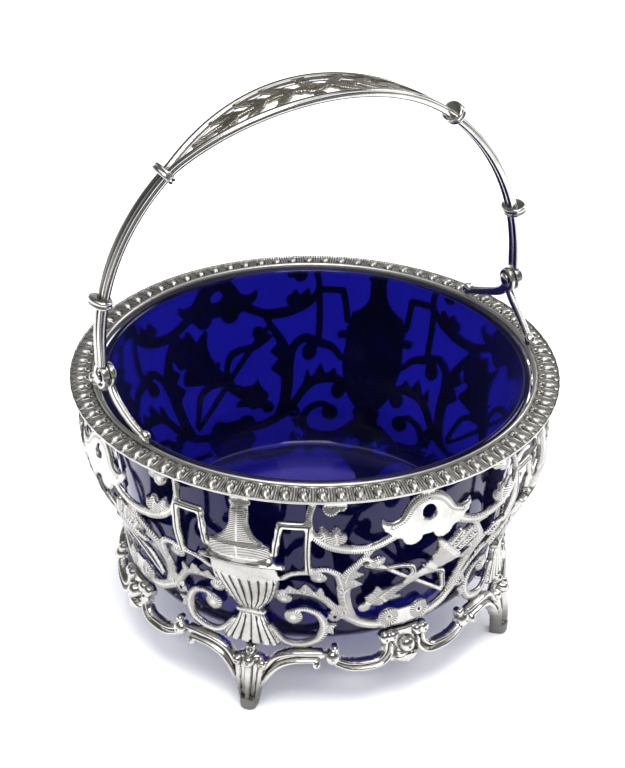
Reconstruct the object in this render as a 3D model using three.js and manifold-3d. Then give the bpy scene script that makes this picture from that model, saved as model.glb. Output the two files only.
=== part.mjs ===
// Silver sugar basket with a swing handle and a blue glass liner.
// Millimetres, +Z up, the table is z = 0 and the basket's axis is the Z axis.
// The handle swings about a line along X through the two hinge pins.

import * as THREE from "three";
import { mergeVertices } from "three/addons/utils/BufferGeometryUtils.js";
import Module from "manifold-3d";

const wasm = await Module();
wasm.setup();

// Clearances
const seatGap = 0.3; // between soldered or resting pieces
const runningGap = 0.35; // between the turning eye and the fixed ear
const linerGap = 0.7; // between the glass lip and the rim's inner edge

// Pierced body: a bombé bowl above a nearly straight skirt
const quarters = 4; // urns, cartouches, legs and swags round the basket
const bodyFoot = 20.2; // height of the lower edge
const bodyTop = 74.6; // height where the ornament runs into the collar
const bellySwell = 1.4; // how far the belly stands outside the mouth
const bellyHeight = 63;
const waistTuck = 10.4; // how far the waist stands inside the mouth
const waistHeight = 28;
const splay = 3.6; // how far the feet stand outside the waist
const sheet = 1.1; // thickness of the pierced sheet
const cartoucheSheet = 1.6; // the cartouches stand proud of it on both faces
const collarDepth = 1.8;
const collarWidth = 2.2;

// Ornament of the body. The drawings hold shares of these widest places.
const urnWidth = 9.6; // half width of the urn's bowl
const strapWidth = 2; // angular handles of the urn
const hookWidth = 2.4;
const scrollWidth = 2.6;
const leafWidth = 2.6;
const urnEye = 2.6; // eye of the scroll beside the urn's foot
const hookBall = 2.2; // ball inside the hook beside the urn's bowl
const leafLobe = 2.2; // lobe where the leaf meets the urn
const linkCurl = 1.9; // curl between the scroll and the cartouche frame
const armWidth = 3; // arms of the cartouche's head
const armLeaf = 2.1; // lobe between an arm and the collar
const stemWidth = 4.2;
const frameWidth = 2.8; // lower band of the cartouche
const frameFoot = 25.4; // height of the middle of its lowest place
const pierceRadius = 2.1; // round hole in the cartouche's head
const headLobe = 3;
const rosette = 3;
const quiverWidth = 5.4;
const featherWidth = 3;
const bowStave = 1.8;
const bowCord = 1.4;
const bowCurl = 2;

// Egg-and-dart rim
const rimRadius = 68.8;
const rimWidth = 7.6;
const rimThickness = 2.2;
const rimOverhang = 4.4; // how far the border stands outside the collar's middle
const rimUndercut = 0.9; // how far its underside stands back from its edge
const rimFall = 0.8; // how much lower the outer edge lies than the inner ring
const ringWidth = 1.7; // plain bright ring inside the eggs
const eggs = 76;
const eggRelief = 0.6;
const eggCrest = 0.9; // how far outside the border's middle the eggs are highest

// Gallery of cast legs and swags
const castDepth = 2.6; // radial thickness of the castings
const footWidth = 5; // half width of the leaf at the knee
const footDepth = 4; // radial thickness of the foot
const padWidth = 2.6; // half width of the pad on the table
const swagCurl = 2.1; // radius of the ball at each end of a swag
const swagEndAngle = 21.6; // its place, in degrees from the swag's middle
const troughWidth = 2.6;
const crescentWidth = 3.4; // arm of a leg
const armBall = 1.3;
const earCurl = 1.8; // curl beside the swag's shell
const shellBall = 2.2;
const ledgeReach = 5.2; // how far a liner ledge reaches inwards
const ledgeWidth = 7.5;
const ledgeThickness = 1.2;

// Glass liner
const linerDrop = 0.65; // how far the lip stands below the rim's ring
const linerRoom = 2.6; // between the glass and the body's middle surface at the waist
const linerWall = 2.2;
const linerFloor = 3.8;
const linerCorner = 2.2; // outside, at the flat bottom
const linerCove = 3.2; // inside, between wall and floor

// Brackets and hinge pins
const earRise = 13; // height of the hinge above the rim's inner ring
const earRadius = 3.4;
const bracketThickness = 1.6;
const bracketSetback = 0.3; // between the rim's inner edge and the bracket's inner face
const bracketWidth = 3; // at the fork
const bracketSpread = 15.5; // degrees from the hinge to each bracket foot
const bracketCurl = 1.5; // scroll at each bracket foot
const pinRadius = 1.1;
const pinHead = 1.9;
const headThickness = 0.75;
const headRounding = 0.4;

// Swing handle
const lean = 3.5; // degrees that the handle stands back from upright
const eyeRadius = 3.5;
const eyeThickness = 2.1;
const eyeRounding = 0.4;
const legRise = 9.1; // straight part above the hinge
const archRise = 60.7;
const railWidth = 2.1; // across the handle
const railDepth = 2.4; // along the arch's radius
const railGap = 0.3; // between the two rails where they run side by side
const grip = 15.4; // distance between the rails' middles at the top
const gripStart = 50; // degrees round the arch where the rails part
const collarAngles = [12, 47.7]; // places of the collars, in degrees round the arch
const collarLength = 2.3;
const collarReach = 4.4; // half width of a collar across the handle
const collarBulge = 3.2; // half width of a collar along the arch's radius
const collarOutset = 0.7; // how far a collar's outline stands outside the rails' middle
const collarPlay = 0.65; // between a collar's bore and the rails
const panelThickness = 1.2;
const panelSpine = 2.2;
const panelLeaf = 3;
const panelFlower = 3.5;
const panelEye = 1.2; // round hole in the flower

const facetSag = 0.3; // how far a facet may lie from the true surface
const cutPast = 1; // how far a cutting tool runs past each face
const degree = Math.PI / 180;
const quarterTurn = 360 / quarters;
const rimInner = rimRadius - rimWidth;
const mouthRadius = rimRadius - rimOverhang; // of the body's middle surface, as are the next two
const bellyRadius = mouthRadius + bellySwell;
const waistRadius = mouthRadius - waistTuck;

// Materials
function silver(roughness) {
  return new THREE.MeshStandardMaterial({ color: 0xcfccc4, metalness: 1, roughness });
}
const sheetSilver = silver(0.26);
const castSilver = silver(0.34);
const drawnSilver = silver(0.2);
const glass = new THREE.MeshStandardMaterial({
  color: 0x1b2468,
  metalness: 0,
  roughness: 0.05,
  transparent: true,
  opacity: 0.7,
});

// Solids

// A closed mesh, without normals and with shared vertices merged, as a solid.
function solidOf(geometry) {
  const bare = new THREE.BufferGeometry();
  bare.setAttribute("position", geometry.getAttribute("position"));
  bare.setIndex(geometry.index);
  const merged = mergeVertices(bare, 1e-4);
  return new wasm.Manifold(
    new wasm.Mesh({
      numProp: 3,
      vertProperties: new Float32Array(merged.attributes.position.array),
      triVerts: new Uint32Array(merged.index.array),
    }),
  );
}

function geometryOf(solid) {
  const { vertProperties, triVerts } = solid.getMesh();
  const geometry = new THREE.BufferGeometry();
  geometry.setAttribute("position", new THREE.BufferAttribute(new Float32Array(vertProperties), 3));
  geometry.setIndex(new THREE.BufferAttribute(new Uint32Array(triVerts), 1));
  return geometry;
}

function join(solids) {
  return solids.reduce((whole, next) => whole.add(next));
}

// Bends a flat skin of points and faces. The bend gives the place in space of a flat point.
// Where a bent edge would sag too far from the surface, its face is halved at its longest edge first.
function bendSkin({ points, faces }, bend) {
  const key = (a, b) => Math.min(a, b) + "," + Math.max(a, b);
  const middle = (a, b) => points[a].clone().lerp(points[b], 0.5);
  const sag = (a, b) => bend(middle(a, b)).distanceTo(bend(points[a]).lerp(bend(points[b]), 0.5));
  const edges = (face) => face.map((corner, k) => [corner, face[(k + 1) % 3]]);
  // The face turned so that its longest edge comes first.
  const length = ([a, b]) => bend(points[a]).distanceTo(bend(points[b])) + 1e-9 * (a + b);
  const longestFirst = (face) => {
    const lengths = edges(face).map(length);
    const start = lengths.indexOf(Math.max(...lengths));
    return [0, 1, 2].map((k) => face[(start + k) % 3]);
  };
  let work = faces.map(longestFirst);
  for (;;) {
    const marked = new Map();
    const mark = ([a, b]) => marked.has(key(a, b)) || marked.set(key(a, b), -1);
    for (const face of work) if (edges(face).some(([a, b]) => sag(a, b) > facetSag)) mark(face);
    if (marked.size === 0) break;
    for (let size = 0; size !== marked.size; ) {
      size = marked.size;
      for (const face of work) if (edges(face).some(([a, b]) => marked.has(key(a, b)))) mark(face);
    }
    const half = ([a, b]) => {
      if (!marked.has(key(a, b))) return undefined;
      if (marked.get(key(a, b)) < 0) marked.set(key(a, b), points.push(middle(a, b)) - 1);
      return marked.get(key(a, b));
    };
    const next = [];
    for (const [a, b, c] of work) {
      const [m, n, p] = [half([a, b]), half([b, c]), half([c, a])];
      if (m === undefined) next.push([a, b, c]);
      else {
        next.push(...(n === undefined ? [[m, b, c]] : [[m, b, n], [m, n, c]]));
        next.push(...(p === undefined ? [[a, m, c]] : [[a, m, p], [p, m, c]]));
      }
    }
    work = next.map(longestFirst);
  }
  const geometry = new THREE.BufferGeometry().setFromPoints(points.map(bend));
  geometry.setIndex(work.flat());
  return facingOut(geometry);
}

function skinOf(solid) {
  const { vertProperties, triVerts } = solid.getMesh();
  const points = [];
  const faces = [];
  for (let i = 0; i < vertProperties.length; i += 3) points.push(new THREE.Vector3().fromArray(vertProperties, i));
  for (let i = 0; i < triVerts.length; i += 3) faces.push([triVerts[i], triVerts[i + 1], triVerts[i + 2]]);
  return { points, faces };
}

// A skin over rows of points, one row for each section, closed round each row.
// The rows close into a ring, or end in flat caps.
function loft(rows, ring = false) {
  const size = rows[0].length;
  const faces = [];
  const spans = ring ? rows.length : rows.length - 1;
  for (let i = 0; i < spans; i++) {
    const here = i * size;
    const there = ((i + 1) % rows.length) * size;
    for (let k = 0; k < size; k++) {
      const next = (k + 1) % size;
      faces.push(here + k, there + k, there + next, here + k, there + next, here + next);
    }
  }
  if (!ring) {
    const last = (rows.length - 1) * size;
    for (let k = 1; k + 1 < size; k++) faces.push(0, k, k + 1, last, last + k + 1, last + k);
  }
  const geometry = new THREE.BufferGeometry().setFromPoints(rows.flat());
  geometry.setIndex(faces);
  return facingOut(geometry);
}

function facingOut(geometry) {
  const position = geometry.getAttribute("position");
  const faces = geometry.index.array;
  const corner = (i) => new THREE.Vector3().fromBufferAttribute(position, faces[i]);
  let volume = 0;
  for (let i = 0; i < faces.length; i += 3) volume += corner(i).dot(corner(i + 1).cross(corner(i + 2)));
  if (volume < 0) faces.reverse();
  return geometry;
}

// Flat drawings: x runs along the surface in millimetres, y is the height.

// The radius of the body's middle surface at a height, down to the table.
function bodyRadius(z) {
  if (z > bellyHeight) {
    const t = (z - bellyHeight) / (bodyTop - bellyHeight);
    return bellyRadius - (bellyRadius - mouthRadius) * t * t;
  }
  if (z > waistHeight) {
    const t = (z - waistHeight) / (bellyHeight - waistHeight);
    return waistRadius + (bellyRadius - waistRadius) * t * t * (3 - 2 * t);
  }
  const t = (waistHeight - z) / waistHeight;
  return waistRadius + splay * t * t;
}

// A point of a drawing, from its angle off the motif's middle and its height.
function onSurface(angle, z) {
  return new THREE.Vector2(angle * degree * bodyRadius(z), z);
}

// Rise is in hundredths of the body's height.
function bodyHeight(rise) {
  return bodyFoot + (rise / 100) * (bodyTop - bodyFoot);
}

function onBody(angle, rise) {
  return onSurface(angle, bodyHeight(rise));
}

// Rise is in hundredths of the gallery's height.
function onGallery(angle, rise) {
  return onSurface(angle, (rise / 100) * bodyFoot);
}

function mirrored(outline) {
  return outline.map((p) => new THREE.Vector2(-p.x, p.y));
}

function bothSides(outline) {
  return [outline, mirrored(outline)];
}

function disc(centre, radius, sides = 6) {
  const outline = [];
  for (let i = 0; i < sides; i++) {
    const turn = ((i + 0.5) / sides) * 2 * Math.PI;
    outline.push(new THREE.Vector2(Math.cos(turn), Math.sin(turn)).multiplyScalar(radius).add(centre));
  }
  return outline;
}

// A curved band through the points. Its width runs evenly through the list of shares of its widest place.
function band(points, width, shares, steps) {
  const path = new THREE.SplineCurve(points);
  const left = [];
  const right = [];
  for (let i = 0; i <= steps; i++) {
    const t = i / steps;
    const along = path.getTangent(t);
    const across = new THREE.Vector2(-along.y, along.x).multiplyScalar((width * valueAt(shares, t)) / 2);
    left.push(path.getPoint(t).add(across));
    right.unshift(path.getPoint(t).sub(across));
  }
  return left.concat(right);
}

function valueAt(list, t) {
  const place = t * (list.length - 1);
  const low = Math.min(Math.floor(place), list.length - 2);
  return THREE.MathUtils.lerp(list[low], list[low + 1], place - low);
}

// A straight-sided strap with mitred corners.
function strap(points, width) {
  const side = (sign) =>
    points.map((p, i) => {
      const before = p.clone().sub(points[Math.max(0, i - 1)]).normalize();
      const after = points[Math.min(points.length - 1, i + 1)].clone().sub(p).normalize();
      if (i === 0) before.copy(after);
      if (i === points.length - 1) after.copy(before);
      const mitre = new THREE.Vector2(-before.y - after.y, before.x + after.x).normalize();
      const reach = width / 2 / (mitre.x * -after.y + mitre.y * after.x);
      return p.clone().addScaledVector(mitre, sign * reach);
    });
  return side(1).concat(side(-1).reverse());
}

// An outline with the same half width on both sides of the middle, through [half width, height] points.
function vase(profile, steps) {
  const path = new THREE.SplineCurve(profile.map(([half, z]) => new THREE.Vector2(half, z)));
  const right = path.getPoints(steps);
  return right.concat(mirrored(right).reverse());
}

// A flat plate of the given depth from an outline.
function plate(outline, depth, start = 0) {
  const shape = new THREE.Shape(outline);
  const geometry = new THREE.ExtrudeGeometry(shape, { depth, bevelEnabled: false, steps: 1 });
  return solidOf(geometry.translate(0, 0, start));
}

// A cutter through a plate of the given depth.
function punch(outline, depth) {
  return plate(outline, depth + 2 * cutPast, -cutPast);
}

function plates(outlines, depth) {
  return join(outlines.map((outline) => plate(outline, depth)));
}

// The bend round the Z axis. Depth runs outwards from the inner face of a wall on the middle surface.
function roundAxis(thickness, radiusAt = bodyRadius) {
  return ({ x, y, z: depth }) => {
    const angle = x / radiusAt(y);
    const radius = radiusAt(y) - thickness / 2 + depth;
    return new THREE.Vector3(radius * Math.cos(angle), radius * Math.sin(angle), y);
  };
}

// Pierced body

// A classical urn between angular handles, on a pleated foot, among leafy scrolls.
function urnDrawing() {
  const at = (share, rise) => [share * urnWidth, bodyHeight(rise)];
  const finial = vase([at(0.17, 100), at(0.31, 95.8), at(0.18, 91.4)], 2);
  const neck = vase([at(0.27, 92), at(0.28, 85), at(0.45, 78.5), at(0.77, 73)], 3);
  const bowl = vase([at(0.82, 73.6), at(0.95, 63), at(1, 49), at(0.88, 39), at(0.62, 29), at(0.31, 21.8)], 5);
  const belt = vase([at(1.25, 62.9), at(1.25, 59)], 1);
  const knop = vase([at(0.36, 22.8), at(0.36, 18.2)], 1);
  const drapery = vase([at(0.36, 18.6), at(0.46, 14), at(0.66, 7), at(0.83, 0.2)], 3);
  const outlines = [finial, neck, bowl, belt, knop, drapery];
  const handle = strap([onBody(8.55, 67.8), onBody(9.7, 86.4), onBody(16.4, 86.4), onBody(16.4, 55.4)], strapWidth);
  const hook = band(
    [onBody(9.2, 48.6), onBody(12.2, 53.9), onBody(16, 55.9), onBody(20.3, 58.1), onBody(23.1, 54.4),
      onBody(24.3, 49), onBody(25.6, 41.5)],
    hookWidth,
    [0.67, 0.79, 0.92, 1, 1, 1],
    6,
  );
  const scroll = band(
    [onBody(12.1, 19.5), onBody(15.3, 23.9), onBody(19.2, 20.5), onBody(21, 12.5), onBody(19.4, 4.9),
      onBody(14.3, 2), onBody(9.6, 3.6), onBody(5.4, 11)],
    scrollWidth,
    [0.62, 0.69, 0.85, 1, 0.92, 0.77, 0.69],
    8,
  );
  const leaf = band(
    [onBody(8.4, 36.6), onBody(12.5, 38.2), onBody(17.2, 36.8), onBody(20.7, 32.2), onBody(22.9, 27),
      onBody(25.8, 21.6)],
    leafWidth,
    [0.77, 0.92, 1, 0.92, 1],
    4,
  );
  const leafTip = [onBody(12.8, 38.5), onBody(15.4, 45), onBody(16.4, 37.5)];
  const rounds = [
    disc(onBody(18.9, 53.4), hookBall),
    disc(onBody(12.1, 18.75), urnEye),
    disc(onBody(9.7, 32), leafLobe),
    disc(onBody(23.7, 18.6), linkCurl),
  ];
  for (const outline of [handle, hook, scroll, leaf, leafTip, ...rounds]) outlines.push(...bothSides(outline));
  return plates(outlines, sheet);
}

// An oval frame under an arched head, with a quiver and a bow crossed inside it.
function cartoucheDrawing() {
  const crown = new THREE.SplineCurve([onBody(0, 98.4), onBody(3, 96.6), onBody(6.1, 88.8), onBody(8.9, 85.2)]);
  const halfHead = crown.getPoints(4).concat([onBody(11.5, 87.3), onBody(11.2, 81), onBody(6.9, 75.4)]);
  const head = halfHead.concat(mirrored(halfHead.slice(1)).reverse());
  const lobe = disc(onBody(4, 75.4), headLobe);
  const arm = band(
    [onBody(8, 79.6), onBody(11.5, 74.5), onBody(15.4, 71.9), onBody(20.7, 73), onBody(25.2, 77), onBody(27.9, 83),
      onBody(28.7, 90.5), onBody(27.7, 98.6)],
    armWidth,
    [1, 0.87, 0.97, 1, 0.87, 0.67, 0.6, 0.6],
    7,
  );
  const stem = band(
    [onBody(13.9, 71.5), onBody(16.5, 62), onBody(18.6, 54), onBody(19.2, 44), onBody(19, 34.5), onBody(18, 26),
      onBody(16.2, 18.5)],
    stemWidth,
    [0.4, 0.57, 0.81, 1, 0.86, 0.71, 0.67],
    5,
  );
  const frame = band(
    [onBody(-20.8, 22.8), onBody(-16.9, 17.3), onBody(-12.1, 12.5), onBody(-6.3, 10.2), onSurface(0, frameFoot),
      onBody(6.3, 10.2), onBody(12.1, 12.5), onBody(16.9, 17.3), onBody(20.8, 22.8)],
    frameWidth,
    [0.93, 1, 0.93, 0.93, 1, 0.93],
    8,
  );
  const leafTip = [onBody(25.4, 78.5), onBody(25.9, 87.5), onBody(22.4, 77)];
  const rounds = [disc(onBody(23.7, 95.6), armLeaf), disc(onBody(4.8, 14), rosette)];
  const trophy = [
    band([onBody(-13, 17.5), onBody(-8, 32), onBody(0, 43), onBody(8, 55)], quiverWidth, [1, 0.78, 0.59, 0.63, 0.81],
      3),
    strap([onBody(6.2, 50), onBody(4.6, 70)], featherWidth),
    strap([onBody(7, 49), onBody(16.4, 56)], featherWidth),
    strap([onBody(-15.4, 66), onBody(13.4, 18)], bowCord),
    band([onBody(-15.4, 61), onBody(-10.5, 55.6), onBody(-5.2, 54.6), onBody(-2, 50.5), onBody(-0.6, 43)],
      bowStave, [1, 1], 4),
    band([onBody(0.8, 42), onBody(6.4, 40.6), onBody(10.4, 35.8), onBody(13.2, 16.5)], bowStave, [1, 1], 4),
    disc(onBody(-11.9, 61.4), bowCurl),
  ];
  const outlines = [head, frame, ...trophy];
  for (const outline of [lobe, arm, stem, leafTip, ...rounds]) outlines.push(...bothSides(outline));
  return plates(outlines, cartoucheSheet).subtract(punch(disc(onBody(0, 87.5), pierceRadius, 10), cartoucheSheet));
}

// A solid of revolution about Z through [radius, height] points.
function latheSolid(profile, segments) {
  const points = profile.map(([radius, z]) => new THREE.Vector2(radius, z));
  const geometry = new THREE.LatheGeometry(points, segments).rotateX(Math.PI / 2);
  geometry.deleteAttribute("normal");
  geometry.deleteAttribute("uv");
  return solidOf(facingOut(mergeVertices(geometry, 1e-4)));
}

// The plain collar under the rim.
function collarSolid() {
  const outer = mouthRadius + collarWidth / 2;
  const inner = mouthRadius - collarWidth / 2;
  const low = bodyTop - collarDepth / 2;
  const high = bodyTop + collarDepth / 2;
  return latheSolid([[inner, low], [outer, low], [outer, high], [inner, high], [inner, low]], 64);
}

function pierceBody() {
  const urn = bendSkin(skinOf(urnDrawing()), roundAxis(sheet));
  const cartouche = bendSkin(skinOf(cartoucheDrawing()), roundAxis(cartoucheSheet));
  const solids = [collarSolid()];
  for (let i = 0; i < quarters; i++) {
    solids.push(solidOf(cartouche.clone().rotateZ(i * quarterTurn * degree)));
    solids.push(solidOf(urn.clone().rotateZ((i + 0.5) * quarterTurn * degree)));
  }
  return geometryOf(join(solids));
}

// Rim

const rimTop = bodyTop + collarDepth / 2 + seatGap + rimThickness;

// The border's section goes round the basket and swells at each egg.
function rimBorder() {
  const low = rimTop - rimThickness;
  const rows = [];
  for (let i = 0; i < eggs * 2; i++) {
    const turn = (i / eggs) * Math.PI;
    const swell = i % 2;
    const edge = rimRadius - (1 - swell) * eggRelief;
    const crest = rimTop - rimFall / 2 - (1 - swell) * eggRelief;
    const section = [
      [rimInner, low],
      [rimInner, rimTop],
      [rimInner + ringWidth, rimTop - eggRelief / 2],
      [(rimInner + rimRadius) / 2 + eggCrest, crest],
      [edge, rimTop - rimFall - eggRelief],
      [rimRadius - rimUndercut, low],
    ];
    rows.push(section.map(([r, z]) => new THREE.Vector3(r * Math.cos(turn), r * Math.sin(turn), z)));
  }
  return loft(rows, true);
}

// Gallery

// A tapered foot with a rounded pad, a leafy knee and a neck under the urn.
function footSolid() {
  const neckTop = bodyFoot - seatGap;
  // Hundredths of the foot's height, half width, depth
  const stations = [
    [0, padWidth * 0.85, footDepth * 0.8],
    [5, padWidth, footDepth],
    [13, padWidth, footDepth * 0.9],
    [20, padWidth * 1.12, footDepth * 0.82],
    [50, footWidth * 0.86, footDepth * 0.86],
    [71, footWidth, footDepth],
    [81, footWidth * 0.9, footDepth * 0.9],
    [85, footWidth * 0.34, footDepth * 0.7],
    [100, footWidth * 0.3, castDepth],
  ];
  const sides = 8;
  const rows = stations.map(([rise, half, depth]) => {
    const z = (rise / 100) * neckTop;
    const row = [];
    for (let k = 0; k < sides; k++) {
      const turn = ((k + 0.5) / sides) * 2 * Math.PI;
      const reach = 1 / Math.cos(Math.PI / sides);
      const radius = bodyRadius(z) + (depth / 2) * reach * Math.cos(turn);
      row.push(new THREE.Vector3(radius, half * reach * Math.sin(turn), z));
    }
    return row;
  });
  return solidOf(loft(rows));
}

function legSolid() {
  const perDegree = degree * bodyRadius(bodyFoot);
  const armEnd = quarterTurn / 2 - swagEndAngle - (swagCurl + seatGap) / perDegree;
  const arm = band(
    [onGallery(3.6, 52), onGallery(6.4, 72), onGallery(10, 84.5), onGallery(15.5, 89), onGallery(armEnd, 89)],
    crescentWidth,
    [1, 1, 0.94, 0.88, 0.76],
    6,
  );
  const ball = disc(onGallery(armEnd - armBall / perDegree, 78.6), armBall);
  const arms = plates([...bothSides(arm), ...bothSides(ball)], castDepth);
  return footSolid().add(solidOf(bendSkin(skinOf(arms), roundAxis(castDepth))));
}

function swagSolid() {
  const at = (angle, rise) => onGallery(angle, rise).toArray();
  const shellTop = frameFoot - frameWidth / 2 - seatGap;
  const trough = band(
    [onGallery(swagEndAngle - 0.6, 80), onGallery(17.6, 73.6), onGallery(12.6, 71.6), onGallery(7.6, 75),
      onGallery(5, 85), onGallery(5.4, 100)],
    troughWidth,
    [0.85, 0.85, 0.85, 0.88, 0.92, 1],
    6,
  );
  const shell = vase(
    [at(4.5, 67), at(4.2, 73.5), at(2.4, 81), at(3.9, 94), at(5.9, 106), onSurface(4.4, shellTop).toArray()],
    5,
  );
  const rounds = [disc(onGallery(swagEndAngle, 87), swagCurl), disc(onGallery(6.1, 107), earCurl)];
  const outlines = [shell, ...bothSides(trough)];
  for (const outline of rounds) outlines.push(...bothSides(outline));
  const ballHeight = onGallery(0, 92).y;
  const ball = new THREE.SphereGeometry(shellBall, 8, 5).rotateX(Math.PI / 2);
  ball.translate(bodyRadius(ballHeight) + castDepth / 2, 0, ballHeight);
  return solidOf(bendSkin(skinOf(plates(outlines, castDepth)), roundAxis(castDepth))).add(solidOf(ball));
}

// A ledge behind each foot carries the glass.
function ledgeGeometry() {
  const outer = bodyRadius(bodyFoot) - castDepth / 2 - seatGap;
  const box = new THREE.BoxGeometry(ledgeReach, ledgeWidth, ledgeThickness);
  return box.translate(outer - ledgeReach / 2, 0, bodyFoot - seatGap / 2 - ledgeThickness / 2);
}

// Glass liner

const lipRadius = rimInner - linerGap;
const linerBottom = bodyFoot + seatGap / 2;

function linerSolid() {
  const low = linerBottom;
  const high = rimTop - linerDrop;
  const lip = linerWall / 2;
  const shoulder = waistRadius - linerRoom;
  const taper = (z) => THREE.MathUtils.mapLinear(z, low + linerCorner, high - lip, shoulder, lipRadius);
  const floor = low + linerFloor;
  const foot = taper(floor + linerCove) - linerWall;
  const profile = [
    [0, low],
    [shoulder - linerCorner, low],
    [shoulder - linerCorner * 0.3, low + linerCorner * 0.3],
    [shoulder, low + linerCorner],
    [taper(high - lip), high - lip],
    [lipRadius - lip * 0.3, high - lip * 0.3],
    [lipRadius - lip, high],
    [lipRadius - lip * 1.7, high - lip * 0.3],
    [lipRadius - linerWall, high - lip],
    [foot, floor + linerCove],
    [foot - linerCove * 0.3, floor + linerCove * 0.3],
    [foot - linerCove, floor],
    [0, floor],
  ];
  return latheSolid(profile, 40);
}

// Brackets and pins

const bracketRadius = rimInner + bracketSetback + bracketThickness / 2;
const hingeHeight = rimTop + earRise;

function bracketGeometry() {
  const at = (angle, below) => new THREE.Vector2(angle * degree * bracketRadius, hingeHeight - below);
  const seat = earRise - seatGap;
  const leg = band(
    [at(0, earRadius * 0.6), at(bracketSpread * 0.2, seat * 0.42), at(bracketSpread * 0.6, seat * 0.68),
      at(bracketSpread, seat - bracketCurl)],
    bracketWidth,
    [1, 0.93, 0.8, 0.73],
    6,
  );
  const scroll = disc(at(bracketSpread + 0.6, seat - bracketCurl), bracketCurl);
  const outlines = [disc(at(0, 0), earRadius, 16), ...bothSides(leg), ...bothSides(scroll)];
  const bore = disc(at(0, 0), pinRadius + seatGap, 12);
  const flat = plates(outlines, bracketThickness).subtract(punch(bore, bracketThickness));
  return bendSkin(skinOf(flat), roundAxis(bracketThickness, () => bracketRadius));
}

const earInner = bracketRadius - bracketThickness / 2;
const earOuter = bracketRadius + bracketThickness / 2;
const eyeInner = earOuter + runningGap;
const eyeOuter = eyeInner + eyeThickness;

// A riveted pin along X, from its inner head to its outer head.
function pinSolid() {
  const innerHead = earInner - seatGap;
  const outerHead = eyeOuter + seatGap;
  const profile = [
    [0, innerHead - headThickness],
    [pinHead - headRounding, innerHead - headThickness],
    [pinHead, innerHead],
    [pinRadius, innerHead],
    [pinRadius, outerHead],
    [pinHead, outerHead],
    [pinHead - headRounding, outerHead + headThickness],
    [0, outerHead + headThickness],
  ];
  return solidOf(geometryOf(latheSolid(profile, 10)).rotateY(Math.PI / 2));
}

// Swing handle, drawn upright with the hinge line at z = 0

const halfSpan = (eyeInner + eyeOuter) / 2;
const arch = new THREE.EllipseCurve(0, legRise, halfSpan, archRise, 0, Math.PI);

// A place on the arch: its middle point, and the directions along it and out of it.
function onArch(angle) {
  const centre = arch.getPoint(angle / 180);
  const along = arch.getTangent(angle / 180);
  return {
    centre: new THREE.Vector3(centre.x, 0, centre.y),
    outward: new THREE.Vector3(along.y, 0, -along.x),
    along: new THREE.Vector3(along.x, 0, along.y),
  };
}

// How far each rail's middle lies from the handle's middle plane.
function railOffset(angle) {
  const together = (railWidth + railGap) / 2;
  const apart = 90 - gripStart;
  const t = Math.abs(90 - angle) / apart;
  if (t >= 1) return together;
  return together + (grip / 2 - together) * Math.cos((t * Math.PI) / 2);
}

// One rail, from just above one eye round the arch to the other eye.
function railGeometry(side) {
  const section = [[-0.5, -0.28], [-0.28, -0.5], [0.28, -0.5], [0.5, -0.28], [0.5, 0.28], [0.28, 0.5], [-0.28, 0.5],
    [-0.5, 0.28]];
  const foot = eyeRadius + seatGap;
  const places = [];
  for (let angle = 0; angle <= 180; angle += angle < gripStart || angle >= 180 - gripStart ? 10 : 5) {
    places.push({ ...onArch(angle), offset: railOffset(angle) });
  }
  const first = places[0];
  const last = places[places.length - 1];
  const lowered = (place) => ({ ...place, centre: new THREE.Vector3(place.centre.x, 0, foot) });
  const rows = [lowered(first), ...places, lowered(last)].map(({ centre, outward, offset }) =>
    section.map(([out, across]) =>
      centre
        .clone()
        .addScaledVector(outward, out * railDepth)
        .setY(side * offset + across * railWidth),
    ),
  );
  return loft(rows);
}

// The bend round the arch: x runs along it from the top, y across it.
function roundArch({ x, y, z: depth }) {
  const { centre, outward } = onArch(90 - x / halfSpan / degree);
  return centre.addScaledVector(outward, depth - panelThickness / 2).setY(y);
}

// Pierced foliage between the rails: a flower at the top and two leafy scrolls on each side.
function panelGeometry() {
  const point = (x, y) => new THREE.Vector2(x, y);
  const end = (90 - gripStart) * degree * halfSpan;
  const room = (x) => railOffset(90 - x / halfSpan / degree) - railWidth / 2 - seatGap;
  const petal = panelFlower / 2;
  const flower = disc(point(0, 0), panelFlower, 10);
  const petals = [disc(point(0, room(0) - petal), petal), disc(point(0, petal - room(0)), petal)];
  const spine = band(
    [point(end * 0.07, 0), point(end * 0.27, 0), point(end * 0.49, 0), point(end * 0.8, 0)],
    panelSpine,
    [1, 0.64, 0.82, 0.36],
    5,
  );
  // Place of the root and reach along the panel, as shares of half its length
  const leaf = ([root, reach]) => {
    const tip = point(end * (root + reach), room(end * (root + reach)) - panelLeaf / 6);
    const bend = point(end * (root + reach * 0.35), tip.y * 0.65);
    return band([point(end * root, 0), bend, tip], panelLeaf, [0.47, 1, 0.33], 3);
  };
  const leaves = [[0.11, 0.13], [0.31, 0.16], [0.49, 0.16]].map(leaf);
  const sprays = [spine, disc(point(panelFlower, 0), petal), ...leaves];
  for (const outline of leaves) sprays.push(outline.map((p) => point(p.x, -p.y)));
  const outlines = [flower, ...petals];
  for (const outline of sprays) outlines.push(...bothSides(outline));
  const eye = punch(disc(point(0, 0), panelEye, 8), panelThickness);
  return bendSkin(skinOf(plates(outlines, panelThickness).subtract(eye)), roundArch);
}

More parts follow.
